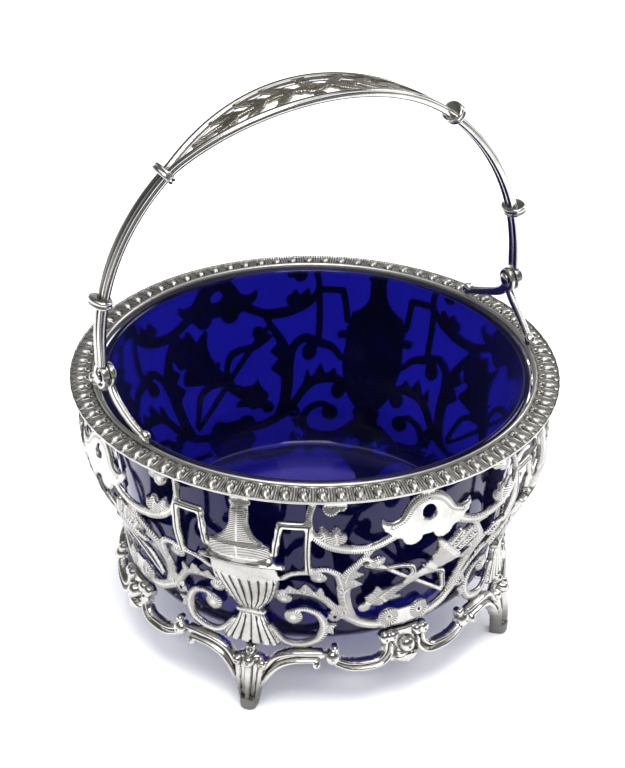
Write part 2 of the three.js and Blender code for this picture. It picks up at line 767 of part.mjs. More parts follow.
// An oval reel round both rails, with a bore that clears them.
function collarGeometry(angle) {
  const boreAcross = railWidth + railGap / 2 + collarPlay;
  const boreOut = railDepth / 2 + collarPlay;
  const half = collarLength / 2;
  const levels = [[1, -half], [1, -half * 0.45], [0.84, -half * 0.2], [0.84, half * 0.2], [1, half * 0.45], [1, half]];
  const { centre, outward, along } = onArch(angle);
  const across = new THREE.Vector3(0, 1, 0);
  const ring = (outReach, acrossReach, level, outset) => (turn) =>
    centre
      .clone()
      .addScaledVector(outward, outset + outReach * Math.cos(turn))
      .addScaledVector(across, acrossReach * Math.sin(turn))
      .addScaledVector(along, level);
  const loops = levels.map(([share, level]) => ring(collarBulge * share, collarReach * share, level, collarOutset));
  loops.push(ring(boreOut, boreAcross, half, 0), ring(boreOut, boreAcross, -half, 0));
  const sides = 12;
  const rows = [];
  for (let k = 0; k < sides; k++) rows.push(loops.map((loop) => loop((k / sides) * 2 * Math.PI)));
  return loft(rows, true);
}

// The round eye at each end, with a bore for the pin along X.
function eyeGeometry() {
  const bore = pinRadius + seatGap;
  const profile = [
    [bore, eyeInner],
    [eyeRadius - eyeRounding, eyeInner],
    [eyeRadius, eyeInner + eyeRounding],
    [eyeRadius, eyeOuter - eyeRounding],
    [eyeRadius - eyeRounding, eyeOuter],
    [bore + eyeRounding, eyeOuter],
    [bore, eyeInner],
  ];
  return geometryOf(latheSolid(profile, 14)).rotateY(Math.PI / 2);
}

// Assembly

const basket = new THREE.Group();

function addMesh(parent, name, geometry, material, turn = 0) {
  const mesh = new THREE.Mesh(geometry, material);
  mesh.name = name;
  mesh.rotation.z = turn * degree;
  parent.add(mesh);
}

addMesh(basket, "pierced_body", pierceBody(), sheetSilver);
addMesh(basket, "rim_border", rimBorder(), castSilver);

const legCasting = geometryOf(legSolid());
const swagCasting = geometryOf(swagSolid());
const ledge = ledgeGeometry();
for (let i = 0; i < quarters; i++) {
  addMesh(basket, `gallery_leg_${i + 1}`, legCasting, castSilver, (i + 0.5) * quarterTurn);
  addMesh(basket, `gallery_swag_${i + 1}`, swagCasting, castSilver, i * quarterTurn);
  addMesh(basket, `liner_ledge_${i + 1}`, ledge, sheetSilver, (i + 0.5) * quarterTurn);
}

addMesh(basket, "glass_liner", geometryOf(linerSolid()), glass);

const hingeLine = new THREE.Group();
hingeLine.position.z = hingeHeight;
basket.add(hingeLine);

const bracket = bracketGeometry();
const pin = geometryOf(pinSolid());
for (const [side, turn] of [["right", 0], ["left", 180]]) {
  addMesh(basket, `bracket_${side}`, bracket, castSilver, turn);
  addMesh(hingeLine, `hinge_pin_${side}`, pin, drawnSilver, turn);
}

const handle = new THREE.Group();
handle.rotation.x = -lean * degree;
hingeLine.add(handle);

addMesh(handle, "handle_rail_front", railGeometry(-1), drawnSilver);
addMesh(handle, "handle_rail_back", railGeometry(1), drawnSilver);
addMesh(handle, "handle_panel", panelGeometry(), castSilver);
const eye = eyeGeometry();
for (const [side, turn] of [["right", 0], ["left", 180]]) {
  addMesh(handle, `handle_eye_${side}`, eye, castSilver, turn);
  collarAngles.forEach((angle, i) => {
    addMesh(handle, `handle_collar_${side}_${i === 0 ? "lower" : "upper"}`, collarGeometry(angle), castSilver, turn);
  });
}

export default basket;
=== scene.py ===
"""Looks of a pierced silver sugar basket with a swing handle and a cobalt glass liner.

Blender works in metres. Sizes and drawings here are in millimetres, on the same axes as the frame: +Z up,
+X along the handle's hinge. A drawing's x runs along a surface and its y up it.
"""

import logging
import math
from dataclasses import dataclass, field, replace
from enum import Enum
from typing import Callable, Iterator, Sequence

import bmesh
import bpy
import numpy as np
from bpy.types import Material, Mesh, Node, NodeSocket, NodeTree
from mathutils import Matrix, Vector


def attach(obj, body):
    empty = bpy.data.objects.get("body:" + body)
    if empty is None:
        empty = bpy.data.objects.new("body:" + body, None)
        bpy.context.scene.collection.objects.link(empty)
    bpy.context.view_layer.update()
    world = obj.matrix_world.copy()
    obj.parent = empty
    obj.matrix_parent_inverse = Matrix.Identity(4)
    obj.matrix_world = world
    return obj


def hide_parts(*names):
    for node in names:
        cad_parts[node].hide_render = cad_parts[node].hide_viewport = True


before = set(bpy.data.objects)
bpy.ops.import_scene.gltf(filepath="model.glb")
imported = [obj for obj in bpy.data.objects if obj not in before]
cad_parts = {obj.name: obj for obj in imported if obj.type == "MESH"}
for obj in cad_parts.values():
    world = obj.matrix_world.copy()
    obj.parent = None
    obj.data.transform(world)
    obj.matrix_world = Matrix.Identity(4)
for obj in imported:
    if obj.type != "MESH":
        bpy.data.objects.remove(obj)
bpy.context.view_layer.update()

log = logging.getLogger("sugar_basket")
MM = 0.001
Array = np.ndarray
Pair = tuple[float, float]
Colour = tuple[float, float, float, float]
BLACK: Colour = (0.0, 0.0, 0.0, 1.0)
WHITE: Colour = (1.0, 1.0, 1.0, 1.0)


# Node and colour helpers


def linear(hex_colour: str) -> Colour:
    """Turns an sRGB hex colour into a linear one.

    Args:
        hex_colour: six hex digits, such as "D9D4C7".

    Returns:
        Red, green, blue and alpha, linear.
    """
    parts = [int(hex_colour[i : i + 2], 16) / 255 for i in (0, 2, 4)]
    red, green, blue = (c / 12.92 if c <= 0.04045 else ((c + 0.055) / 1.055) ** 2.4 for c in parts)
    return red, green, blue, 1.0


def feed(tree: NodeTree, node: Node, links: dict) -> None:
    """Fills a node's inputs.

    Args:
        tree: the node's tree.
        node: the node.
        links: by input name or number, a socket to link or a value to set.
    """
    for key, source in links.items():
        if isinstance(source, NodeSocket):
            tree.links.new(source, node.inputs[key])
        else:
            node.inputs[key].default_value = source


def add_node(tree: NodeTree, kind: str, settings: dict | None = None, links: dict | None = None) -> Node:
    """Adds a node with its settings and links.

    Args:
        tree: the node tree that takes it.
        kind: the node's type name.
        settings: its properties by name.
        links: its inputs, as for feed.

    Returns:
        The node.
    """
    node = tree.nodes.new(kind)
    for name, value in (settings or {}).items():
        setattr(node, name, value)
    feed(tree, node, links or {})
    return node


def maths(tree: NodeTree, operation: str, *values: NodeSocket | float) -> NodeSocket:
    """Adds one step of arithmetic and returns its result."""
    node = add_node(tree, "ShaderNodeMath", {"operation": operation}, dict(enumerate(values)))
    return node.outputs[0]


def ramp(tree: NodeTree, value: NodeSocket, span: Pair, ends: Pair = (0.0, 1.0),
         smooth: bool = True) -> NodeSocket:
    """Adds a ramp and returns its result.

    Args:
        tree: the node tree that takes it.
        value: what it follows.
        span: the values at its ends.
        ends: what it gives there.
        smooth: whether it eases in and out.

    Returns:
        The result, which stays within the ends.
    """
    easing = {"interpolation_type": "SMOOTHSTEP" if smooth else "LINEAR"}
    return add_node(tree, "ShaderNodeMapRange", easing, dict(enumerate((value, *span, *ends)))).outputs[0]


def noise(tree: NodeTree, place: NodeSocket, size: float, detail: float,
          roughness: float = 0.5) -> NodeSocket:
    """Adds noise and returns it.

    Args:
        tree: the node tree that takes it.
        place: where it is looked up.
        size: of its patches, in millimetres.
        detail: how many finer layers it has.
        roughness: how strong they are.

    Returns:
        The noise, around 0.5.
    """
    settings = {"Vector": place, "Scale": 1 / (size * MM), "Detail": detail, "Roughness": roughness}
    return add_node(tree, "ShaderNodeTexNoise", {}, settings).outputs["Fac"]


def mix(tree: NodeTree, share: NodeSocket, first: NodeSocket | Colour,
        second: NodeSocket | Colour) -> NodeSocket:
    """Mixes two colours by the second one's share."""
    return add_node(tree, "ShaderNodeMix", {"data_type": "RGBA"}, {0: share, 6: first, 7: second}).outputs[2]


def bump(tree: NodeTree, **links: NodeSocket | float) -> NodeSocket:
    """Adds bumps from their Height, Strength and Distance and returns the surface's direction."""
    return add_node(tree, "ShaderNodeBump", {}, links).outputs[0]


def new_material(name: str) -> tuple[Material, NodeTree, Node]:
    """Makes a plain material.

    Args:
        name: its name.

    Returns:
        The material, its node tree and its shader.
    """
    material = bpy.data.materials.new(name)
    material.use_nodes = True
    return material, material.node_tree, material.node_tree.nodes["Principled BSDF"]


# Drawings

OUTSIDE = 9.0  # a distance in millimetres that is clear of every shape
MARGIN = 1.5  # how far round a shape it is measured
HOLE_MARGIN = 2.0
EDGE_ROUNDING = 0.3  # how far in from its edge a relief comes to its height
EDGE_START = 0.12  # its height at the edge, as a share
TOUCH = 0.05  # how near a shape's edge still counts as on it


class Cut(Enum):
    """The engraver's cuts on a shape. The material tells them apart by value."""

    PLAIN = 0
    FEATHER = 1
    BANDS = 2
    VEINS = 3
    LINE = 4
    RAYS = 5
    DOTS = 6
    DARTS = 7
    HATCH = 8
    GROOVES = 9


class Form(Enum):
    """How a shape stands up across its width."""

    FLAT = "flat"
    ROUND = "round"
    TWIN = "twin"
    FLUTED = "fluted"
    DISHED = "dished"


# Shares of a form's rise, and of its half width.
TWIN_CREST = 0.75
FLUTE_CREST = 0.5
FLUTE_EDGE = 0.6
DISH_EDGE = 0.62
DISH_ROLL = (0.8, 0.2)
DISH_FLOOR = (0.35, 0.4)


def flute(across: Array, flutes: int) -> Array:
    """Place across a row of flutes that stand round a bowl, in flutes from its left edge."""
    return flutes * (np.arcsin(np.clip(across, -1, 1)) / np.pi + 0.5)


def profile(form: Form, across: Array, flutes: int) -> Array:
    """The height of a form across its width, as a share of its rise.

    Args:
        form: the kind of section.
        across: -1 at one edge to 1 at the other.
        flutes: how many flutes a fluted form has.

    Returns:
        Heights from 0 to 1.
    """
    side = np.clip(np.abs(across), 0, 1)
    dome = np.sqrt(1 - side**2)
    if form is Form.ROUND:
        return dome
    if form is Form.TWIN:
        return (1 - TWIN_CREST) * dome + TWIN_CREST * np.sqrt(np.clip(1 - (2 * side - 1) ** 2, 0, 1))
    if form is Form.FLUTED:
        ribs = np.abs(np.sin(np.pi * flute(across, flutes))) ** FLUTE_EDGE
        return (1 - FLUTE_CREST) * dome + FLUTE_CREST * ribs
    if form is Form.DISHED:
        middle, half = DISH_ROLL
        low, fall = DISH_FLOOR
        roll = np.sqrt(np.clip(1 - ((side - middle) / half) ** 2, 0, 1))
        return np.where(side > DISH_EDGE, roll, low + fall * (DISH_EDGE - side))
    return np.ones_like(side)


@dataclass
class Shape:
    """One filled shape of a drawing, in millimetres.

    Attributes:
        cut: the engraver's cuts on it.
        form: its section.
        proud: how far its edge stands over the sheet.
        rise: how far its middle stands over its edge.
        flutes: how many flutes a fluted form has.
        both: whether it has a twin at the mirrored place.
        outline: its points.
        period: the way once round it, where its cuts run round.
    """

    cut: Cut = Cut.PLAIN
    form: Form = Form.FLAT
    proud: float = 0.0
    rise: float = 0.0
    flutes: int = 0
    both: bool = False
    outline: Array = field(default_factory=lambda: np.zeros((0, 2)))
    period: float = 0.0

    def fold(self, places: Array) -> Array:
        """Mirrors places onto the drawn side of a shape that has a twin."""
        if not self.both:
            return places
        return np.column_stack([np.abs(places[:, 0]), places[:, 1]])

    def measure(self, places: Array) -> Array:
        """Distance from the outline (negative inside), way along and way across, for folded places."""
        raise NotImplementedError

    def reach(self) -> tuple[Array, Array]:
        """Lowest and highest corner of the shape."""
        return self.outline.min(0), self.outline.max(0)


def along_path(places: Array, path: Array) -> tuple[Array, Array, Array]:
    """Finds where places lie beside a path.

    Args:
        places: points, one row each.
        path: the path's points.

    Returns:
        Distance to the path, signed sideways distance, and place on the path in steps.
    """
    start = path[:-1]
    span = path[1:] - start
    length = np.maximum((span**2).sum(1), 1e-12)
    offset = places[:, None, :] - start[None]
    t = np.clip((offset * span[None]).sum(2) / length[None], 0, 1)
    away = offset - t[..., None] * span[None]
    far = (away**2).sum(2)
    best = far.argmin(1)
    rows = np.arange(len(places))
    near_t = t[rows, best]
    side = span[best, 0] * away[rows, best, 1] - span[best, 1] * away[rows, best, 0]
    distance = np.sqrt(far[rows, best])
    return distance, np.where(side < 0, -distance, distance), best + near_t


def smooth_path(points: Sequence[Pair], per_span: int = 8) -> Array:
    """A smooth curve through points.

    Args:
        points: the points that it passes.
        per_span: steps between two points.

    Returns:
        The curve's points.
    """
    given = np.array(points, float)
    padded = np.vstack([2 * given[0] - given[1], given, 2 * given[-1] - given[-2]])
    t = np.arange(per_span)[:, None] / per_span
    spans = []
    for i in range(1, len(given)):
        p0, p1, p2, p3 = padded[i - 1], padded[i], padded[i + 1], padded[i + 2]
        square = (2 * p0 - 5 * p1 + 4 * p2 - p3) * t**2
        cube = (3 * p1 - p0 - 3 * p2 + p3) * t**3
        spans.append(0.5 * (2 * p1 + (p2 - p0) * t + square + cube))
    return np.vstack(spans + [given[-1:]])


@dataclass
class Band(Shape):
    """A ribbon along a path, with a width that runs evenly through a list."""

    widths: Sequence[float] = (1.0,)

    def half(self, step: Array) -> Array:
        """Half the ribbon's width at a place on its path."""
        places = np.linspace(0, len(self.outline) - 1, len(self.widths))
        return np.interp(step, places, self.widths) / 2

    def measure(self, places: Array) -> Array:
        """Distance from the ribbon's edge, way along it and way across it.

        Args:
            places: points, one row each.

        Returns:
            The three measures of each place.
        """
        distance, side, step = along_path(places, self.outline)
        lengths = np.concatenate([[0], np.cumsum(np.linalg.norm(np.diff(self.outline, axis=0), axis=1))])
        half = self.half(step)
        return np.column_stack([distance - half, np.interp(step, np.arange(len(lengths)), lengths),
                                side / half])

    def reach(self) -> tuple[Array, Array]:
        """Lowest and highest corner of the ribbon."""
        margin = max(self.widths) / 2
        return self.outline.min(0) - margin, self.outline.max(0) + margin


@dataclass
class Disc(Shape):
    """A round of a radius about a point, with the prick of a compass in its middle."""

    radius: float = 1.0
    cut_pitch: float = 0.9

    def measure(self, places: Array) -> Array:
        """Distance from the edge, way round it and way out from its middle.

        Args:
            places: points, one row each.

        Returns:
            The three measures of each place.
        """
        offset = places - self.outline[0]
        far = np.linalg.norm(offset, axis=1)
        cuts = round(2 * np.pi * self.radius / self.cut_pitch)
        self.period = cuts * self.cut_pitch
        around = np.arctan2(offset[:, 1], offset[:, 0]) / (2 * np.pi) * self.period
        return np.column_stack([np.maximum(far - self.radius, -far), around, far / self.radius])

    def reach(self) -> tuple[Array, Array]:
        """Lowest and highest corner of the round."""
        return self.outline[0] - self.radius, self.outline[0] + self.radius


@dataclass
class Plate(Shape):
    """A closed outline, cut off below and above, with a scalloped hem or crest where these are given."""

    low: float = -1e3
    high: float = 1e3
    hem: float = 0.0
    crest: float = 0.0
    least_half: float = 0.2

    def measure(self, places: Array) -> Array:
        """Distance from the outline, height, and way across between its two sides.

        Args:
            places: points, one row each.

        Returns:
            The three measures of each place.
        """
        loop = np.vstack([self.outline, self.outline[:1]])
        distance, _, _ = along_path(places, loop)
        x, y = places[:, :1], places[:, 1:]
        x0, y0, x1, y1 = loop[:-1, 0], loop[:-1, 1], loop[1:, 0], loop[1:, 1]
        rise = np.where(np.abs(y1 - y0) < 1e-9, 1e-9, y1 - y0)
        crossed = ((y0 > y) != (y1 > y)) & (x < x0 + (y - y0) * (x1 - x0) / rise)
        inside = crossed.sum(1) % 2 == 1
        left, right = self.sides(places[:, 1])
        across = (places[:, 0] - (left + right) / 2) / np.maximum((right - left) / 2, self.least_half)
        scallop = 1 - np.abs(np.sin(np.pi * flute(across, self.flutes)))
        low, high = self.low + self.hem * scallop, self.high - self.crest * scallop
        signed = np.where(inside, -distance, distance)
        signed = np.maximum(signed, np.maximum(low - places[:, 1], places[:, 1] - high))
        return np.column_stack([signed, places[:, 1], across])

    def sides(self, heights: Array) -> tuple[Array, Array]:
        """The outline's left and right side at some heights.

        Args:
            heights: the heights.

        Returns:
            The left side's x and the right side's.
        """
        levels = np.linspace(self.outline[:, 1].min() + 1e-4, self.outline[:, 1].max() - 1e-4, 60)
        loop = np.vstack([self.outline, self.outline[:1]])
        left, right = [], []
        for level in levels:
            y0, y1 = loop[:-1, 1], loop[1:, 1]
            hit = (y0 > level) != (y1 > level)
            t = (level - y0[hit]) / (y1[hit] - y0[hit])
            x = loop[:-1, 0][hit] + t * (loop[1:, 0][hit] - loop[:-1, 0][hit])
            left.append(x.min())
            right.append(x.max())
        return np.interp(heights, levels, left), np.interp(heights, levels, right)


@dataclass
class Drawing:
    """Shapes in painter's order, each motif with its own middle, and holes cut through all of them."""

    shapes: list[tuple[float, Shape]] = field(default_factory=list)
    holes: list[tuple[float, Shape]] = field(default_factory=list)
    flatten: Callable[[Array, float], Array] = lambda places, middle: places - np.array([middle, 0.0])

    def measures(self, places: Array, margin: float = MARGIN) -> Iterator[tuple[int, Array, Array]]:
        """Measures the shapes near the places.

        Args:
            places: points of the sheet.
            margin: how far round a shape it is measured.

        Yields:
            For each shape its number, the rows that are near it, and what they measure.
        """
        for number, (middle, shape) in enumerate(self.shapes):
            local = shape.fold(self.flatten(places, middle))
            low, high = shape.reach()
            near = np.nonzero(((local > low - margin) & (local < high + margin)).all(1))[0]
            if len(near):
                yield number, near, shape.measure(local[near])

    def distance(self, places: Array) -> Array:
        """Distance from the silver's edge, negative on silver.

        Args:
            places: points, one row each.

        Returns:
            The distance of each place.
        """
        result = np.full(len(places), OUTSIDE)
        for _, near, found in self.measures(places):
            result[near] = np.minimum(result[near], found[:, 0])
        for middle, hole in self.holes:
            local = hole.fold(self.flatten(places, middle))
            low, high = hole.reach()
            near = np.nonzero(((local > low - HOLE_MARGIN) & (local < high + HOLE_MARGIN)).all(1))[0]
            if len(near):
                result[near] = np.maximum(result[near], -hole.measure(local[near])[:, 0])
        return result

    def height(self, places: Array) -> Array:
        """How far the relief stands over the sheet's face.

        Args:
            places: points, one row each.

        Returns:
            The height at each place.
        """
        result = np.zeros(len(places))
        for number, near, found in self.measures(places, EDGE_ROUNDING):
            shape = self.shapes[number][1]
            edge = np.clip(EDGE_START - found[:, 0] / EDGE_ROUNDING, 0, 1)
            stands = (shape.proud + shape.rise * profile(shape.form, found[:, 2], shape.flutes)) * edge
            result[near] = np.maximum(result[near], stands)
        return result

    def owner(self, places: Array) -> Array:
        """The number of the topmost shape at each place.

        Args:
            places: points, one row each.

        Returns:
            The number of a shape for each place.
        """
        nearest = np.full(len(places), OUTSIDE)
        result = np.zeros(len(places), int)
        for number, near, found in self.measures(places):
            closer = found[:, 0] < nearest[near]
            on_top = (found[:, 0] < TOUCH) | (closer & (nearest[near] > TOUCH))
            result[near[on_top]] = number
            nearest[near[on_top]] = np.minimum(found[on_top, 0], nearest[near[on_top]])
        return result

    def own_measure(self, number: int, places: Array) -> tuple[Array, float]:
        """What one shape measures at some places, and its period round a disc.

        Args:
            number: the shape's number.
            places: points of the sheet.

        Returns:
            The three measures of each place, and the period.
        """
        middle, shape = self.shapes[number]
        found = shape.measure(shape.fold(self.flatten(places, middle)))
        return found, shape.period


# Meshes

# Angles in degrees over which an edge stays sharp.
SHEET_SHARP = 50.0
SOLID_SHARP = 40.0
CASTING_SHARP = 70.0
RIM_SHARP = 75.0


@dataclass
class Sheet:
    """A drawing cut out of a sheet and bent to its place.

    Attributes:
        drawing: what is cut out.
        low: the grid's first place along the sheet and up it.
        high: its last place.
        step: from one grid line to the next.
        bend: turns places and how far they stand out into points in space.
        thickness: of the sheet.
        bevel: how far the front face is rounded down at its edge.
        back_bevel: the same on the back face.
        copies: how often the drawing repeats along the sheet.
        closed: whether the last copy meets the first.
        both_faces: whether the back has the relief too.
    """

    drawing: Drawing
    low: Pair
    high: Pair
    step: Pair
    bend: Callable[[Array, Array], Array]
    thickness: float
    bevel: float = 0.22
    back_bevel: float = 0.12
    copies: int = 1
    closed: bool = False
    both_faces: bool = False

    def nodes(self) -> tuple[Array, Array]:
        """Grid coordinates of one copy along the sheet and up it."""
        counts = [max(2, round((self.high[k] - self.low[k]) / self.step[k])) for k in (0, 1)]
        return tuple(np.linspace(self.low[k], self.high[k], counts[k] + 1) for k in (0, 1))

    def build(self, name: str) -> Mesh:
        """Cuts the sheet along the drawing's outline and bends it.

        Args:
            name: the mesh's name.

        Returns:
            A closed mesh that carries the attributes along, across and cut.
        """
        us, vs = self.nodes()
        columns = us[:-1] if self.closed else us
        grid = np.array(np.meshgrid(columns, vs, indexing="ij")).reshape(2, -1).T
        distance = self.drawing.distance(grid).reshape(len(columns), len(vs))
        # No node lies just on the outline, and no cut runs off the grid.
        distance = np.where(np.abs(distance) < 1e-4, 1e-4, distance)
        distance[:, [0, -1]] = OUTSIDE
        if not self.closed:
            distance[[0, -1], :] = OUTSIDE
        distance = np.tile(distance, (self.copies, 1))
        places, faces, edges = self.trace(distance)
        span = (us[-1] - us[0]) / (len(us) - 1)
        flat = np.column_stack([us[0] + places[:, 0] * span, vs[0] + places[:, 1] * (vs[1] - vs[0])])
        return self.skin(name, flat, faces, edges, places[:, 2] > 0)

    def trace(self, distance: Array) -> tuple[Array, list[list[int]], list[Pair]]:
        """Walks the cells of the grid.

        Args:
            distance: the distance from the silver's edge at each grid node.

        Returns:
            Points as grid place and edge mark, faces, and the open edges.
        """
        count = len(distance)
        inside = distance < 0
        index = np.full(distance.shape, -1)
        index[inside] = np.arange(inside.sum())
        points = [(i, j, 0) for i, j in np.argwhere(inside)]
        left = np.arange(count if self.closed else count - 1)
        right = (left + 1) % count
        corners = [inside[left][:, :-1], inside[right][:, :-1], inside[right][:, 1:], inside[left][:, 1:]]
        total = np.sum(corners, axis=0)
        full = np.argwhere(total == 4)
        i, j = full[:, 0], full[:, 1]
        k = right[i]
        faces = np.column_stack([index[i, j], index[k, j], index[k, j + 1], index[i, j + 1]]).tolist()
        crossings: dict[tuple, int] = {}
        edges: list[Pair] = []
        for i, j in np.argwhere((total > 0) & (total < 4)):
            k = right[i]
            loop = [((i, j), (i, j)), ((k, j), (i + 1, j)), ((k, j + 1), (i + 1, j + 1)),
                    ((i, j + 1), (i, j + 1))]
            face = []
            exits = []
            for (p, p_place), (q, q_place) in zip(loop, loop[1:] + loop[:1]):
                if inside[p]:
                    face.append(int(index[p]))
                if inside[p] == inside[q]:
                    continue
                key = (p, q) if p < q else (q, p)
                if key not in crossings:
                    t = float(np.clip(distance[p] / (distance[p] - distance[q]), 0.1, 0.9))
                    place = [a + t * (b - a) for a, b in zip(p_place, q_place)]
                    crossings[key] = len(points)
                    points.append((place[0], place[1], 1))
                face.append(crossings[key])
                exits.append((bool(inside[p]), crossings[key]))
            for n, (leaving, vertex) in enumerate(exits):
                if leaving:
                    edges.append((vertex, exits[(n + 1) % len(exits)][1]))
            faces.append(face)
        return np.array(points, float), faces, edges

    def skin(self, name: str, flat: Array, faces: list, edges: list, rim: Array) -> Mesh:
        """Gives the cut sheet its two faces and its edge.

        Args:
            name: the mesh's name.
            flat: points of the sheet.
            faces: faces of its outer side.
            edges: its open edges.
            rim: which points lie on an open edge.

        Returns:
            The mesh.
        """
        size = len(flat)
        height = self.drawing.height(flat)
        front = self.thickness / 2 + height - np.where(rim, self.bevel, 0)
        back = -self.thickness / 2 - (height if self.both_faces else 0) + np.where(rim, self.back_bevel, 0)
        co = np.vstack([self.bend(flat, front), self.bend(flat, back)]) * MM
        behind = [[v + size for v in reversed(face)] for face in faces]
        walls = [[b, a, a + size, b + size] for a, b in edges]
        mesh = bpy.data.meshes.new(name)
        mesh.from_pydata(co.tolist(), [], faces + behind + walls)
        self.mark(mesh, flat, faces, len(behind) + len(walls))
        mesh.validate()
        mesh.shade_smooth()
        mesh.set_sharp_from_angle(angle=math.radians(SHEET_SHARP))
        return mesh

    def mark(self, mesh: Mesh, flat: Array, faces: list, plain: int) -> None:
        """Writes each face's cut, and each corner's way along and across its shape.

        Args:
            mesh: the mesh that takes them.
            flat: its points before it was bent.
            faces: its front faces.
            plain: how many faces follow them without cuts.
        """
        sizes = np.array([len(face) for face in faces])
        corners = np.concatenate([np.array(face) for face in faces])
        of_face = np.repeat(np.arange(len(faces)), sizes)
        middles = np.zeros((len(faces), 2))
        np.add.at(middles, of_face, flat[corners])
        owner = self.drawing.owner(middles / sizes[:, None])
        along = np.zeros(len(corners))
        across = np.zeros(len(corners))
        for number in np.unique(owner):
            rows = np.nonzero(owner[of_face] == number)[0]
            found, period = self.drawing.own_measure(number, flat[corners[rows]])
            shape = self.drawing.shapes[number][1]
            value = flute(found[:, 2], shape.flutes) if shape.cut is Cut.GROOVES else found[:, 1]
            if period:
                first = np.concatenate([[True], of_face[rows][1:] != of_face[rows][:-1]])
                lead = value[np.maximum.accumulate(np.where(first, np.arange(len(rows)), 0))]
                value = value - period * np.round((value - lead) / period)
            along[rows] = value
            across[rows] = found[:, 2]
        cuts = [self.drawing.shapes[number][1].cut.value for number in owner]
        rest = np.zeros(len(mesh.loops) - len(corners))
        write_cuts(mesh, np.concatenate([along, rest]), np.concatenate([across, rest]), cuts + [0] * plain)


def write_cuts(mesh: Mesh, along: Array, across: Array, cuts: Sequence[int]) -> None:
    """Writes the attributes that the engraving reads.

    Args:
        mesh: the mesh that takes them.
        along: each corner's way along its shape, in millimetres.
        across: each corner's place across it, -1 to 1.
        cuts: each face's cut, by its value.
    """
    for label, domain, values in (("along", "CORNER", along), ("across", "CORNER", across),
                                  ("cut", "FACE", cuts)):
        mesh.attributes.new(label, "FLOAT", domain).data.foreach_set("value", np.asarray(values, np.float32))


def loft(name: str, rows: Array, ring: bool = False) -> Mesh:
    """A skin over rows of points, each row closed.

    Args:
        name: the mesh's name.
        rows: points in millimetres, by row.
        ring: whether the rows close on themselves; otherwise the ends are capped.

    Returns:
        A closed mesh with outward normals.
    """
    count, size = rows.shape[:2]
    faces = []
    for i in range(count if ring else count - 1):
        for k in range(size):
            a, b = i * size, ((i + 1) % count) * size
            faces.append((a + k, a + (k + 1) % size, b + (k + 1) % size, b + k))
    if not ring:
        faces.append(tuple(reversed(range(size))))
        faces.append(tuple(range((count - 1) * size, count * size)))
    mesh = bpy.data.meshes.new(name)
    mesh.from_pydata((rows.reshape(-1, 3) * MM).tolist(), [], faces)
    return face_out(mesh)


def face_out(mesh: Mesh) -> Mesh:
    """Merges doubles, turns the faces outwards and shades them smooth between sharp edges.

    Args:
        mesh: the mesh, which is changed.

    Returns:
        The same mesh.
    """
    work = bmesh.new()
    work.from_mesh(mesh)
    bmesh.ops.remove_doubles(work, verts=work.verts, dist=1e-7)
    bmesh.ops.recalc_face_normals(work, faces=work.faces)
    work.to_mesh(mesh)
    work.free()
    mesh.shade_smooth()
    mesh.set_sharp_from_angle(angle=math.radians(SOLID_SHARP))
    return mesh


def lathe(name: str, points: Sequence[Pair], segments: int, closed: bool = False) -> Mesh:
    """Turns a section about Z.

    Args:
        name: the mesh's name.
        points: radius and height of the section's points.
        segments: steps round the axis.
        closed: whether the section is a loop clear of the axis.

    Returns:
        A closed mesh.
    """
    section = np.array(points, float)
    turns = np.linspace(0, 2 * np.pi, segments, endpoint=False)
    rows = np.stack([np.outer(np.cos(turns), section[:, 0]), np.outer(np.sin(turns), section[:, 0]),
                     np.tile(section[:, 1], (segments, 1))], axis=2)
    faces = []
    size = len(section)
    for i in range(segments):
        a, b = i * size, ((i + 1) % segments) * size
        for k in range(size if closed else size - 1):
            faces.append((a + k, b + k, b + (k + 1) % size, a + (k + 1) % size))
    mesh = bpy.data.meshes.new(name)
    mesh.from_pydata((rows.reshape(-1, 3) * MM).tolist(), [], faces)
    return face_out(mesh)


def turned(mesh: Mesh, matrix: Matrix) -> Mesh:
    """A copy of a mesh, moved by a matrix in metres.

    Args:
        mesh: the mesh, which stays.
        matrix: the move.

    Returns:
        The copy.
    """
    copy = mesh.copy()
    copy.transform(matrix)
    return copy


SIDES = (("right", 1.0), ("left", -1.0))


def to_side(side: float) -> Matrix:
    """The turn about Z that takes a piece from the right to its own side, 1 or -1."""
    return Matrix.Rotation(0 if side > 0 else math.pi, 4, "Z")


# Finishes


@dataclass(frozen=True)
class CutStyle:
    """How one kind of cut looks.

    Attributes:
        cut: the kind of cut.
        pitch: from one cut to the next, in millimetres along the shape.
        slant: how many cuts a line passes from the middle to the edge, alike on both sides.
        inner: where the cuts start across the shape, 0 in its middle.
        outer: where they end, 1 at its edge.
        share: how wide a cut is, as a share of the pitch.
        tilt: how many cuts a line passes from the middle to the right edge, and back on the left.
    """

    cut: Cut
    pitch: float
    slant: float
    inner: float
    outer: float
    share: float = 0.5
    tilt: float = 0.0


# The border's eggs, and the pitch of their middles in millimetres.
EGGS = 84
EGG_RADIUS = 66.0
EGG_PITCH = 2 * math.pi * EGG_RADIUS / EGGS
LINES_PER_EGG = 7

CUT_STYLES = (
    CutStyle(Cut.FEATHER, 0.64, 0.7, 0.24, 0.96),
    CutStyle(Cut.BANDS, 0.58, 0.0, 0.0, 0.97, 0.5, -0.7),
    CutStyle(Cut.VEINS, 0.66, 1.4, 0.08, 1.0),
    CutStyle(Cut.LINE, 0.0, 0.0, 0.0, 0.2),
    CutStyle(Cut.RAYS, 0.9, 0.0, 0.34, 0.95),
    CutStyle(Cut.DOTS, 0.9, 2.0, 0.05, 0.8, 0.35),
    CutStyle(Cut.DARTS, EGG_PITCH / LINES_PER_EGG, 0.0, 0.0, 1.0, 0.6),
    CutStyle(Cut.HATCH, 0.58, 0.0, 0.0, 0.98, 0.5, -4.6),
    CutStyle(Cut.GROOVES, 1.0, 0.0, 0.0, 1.0, 0.3),
)


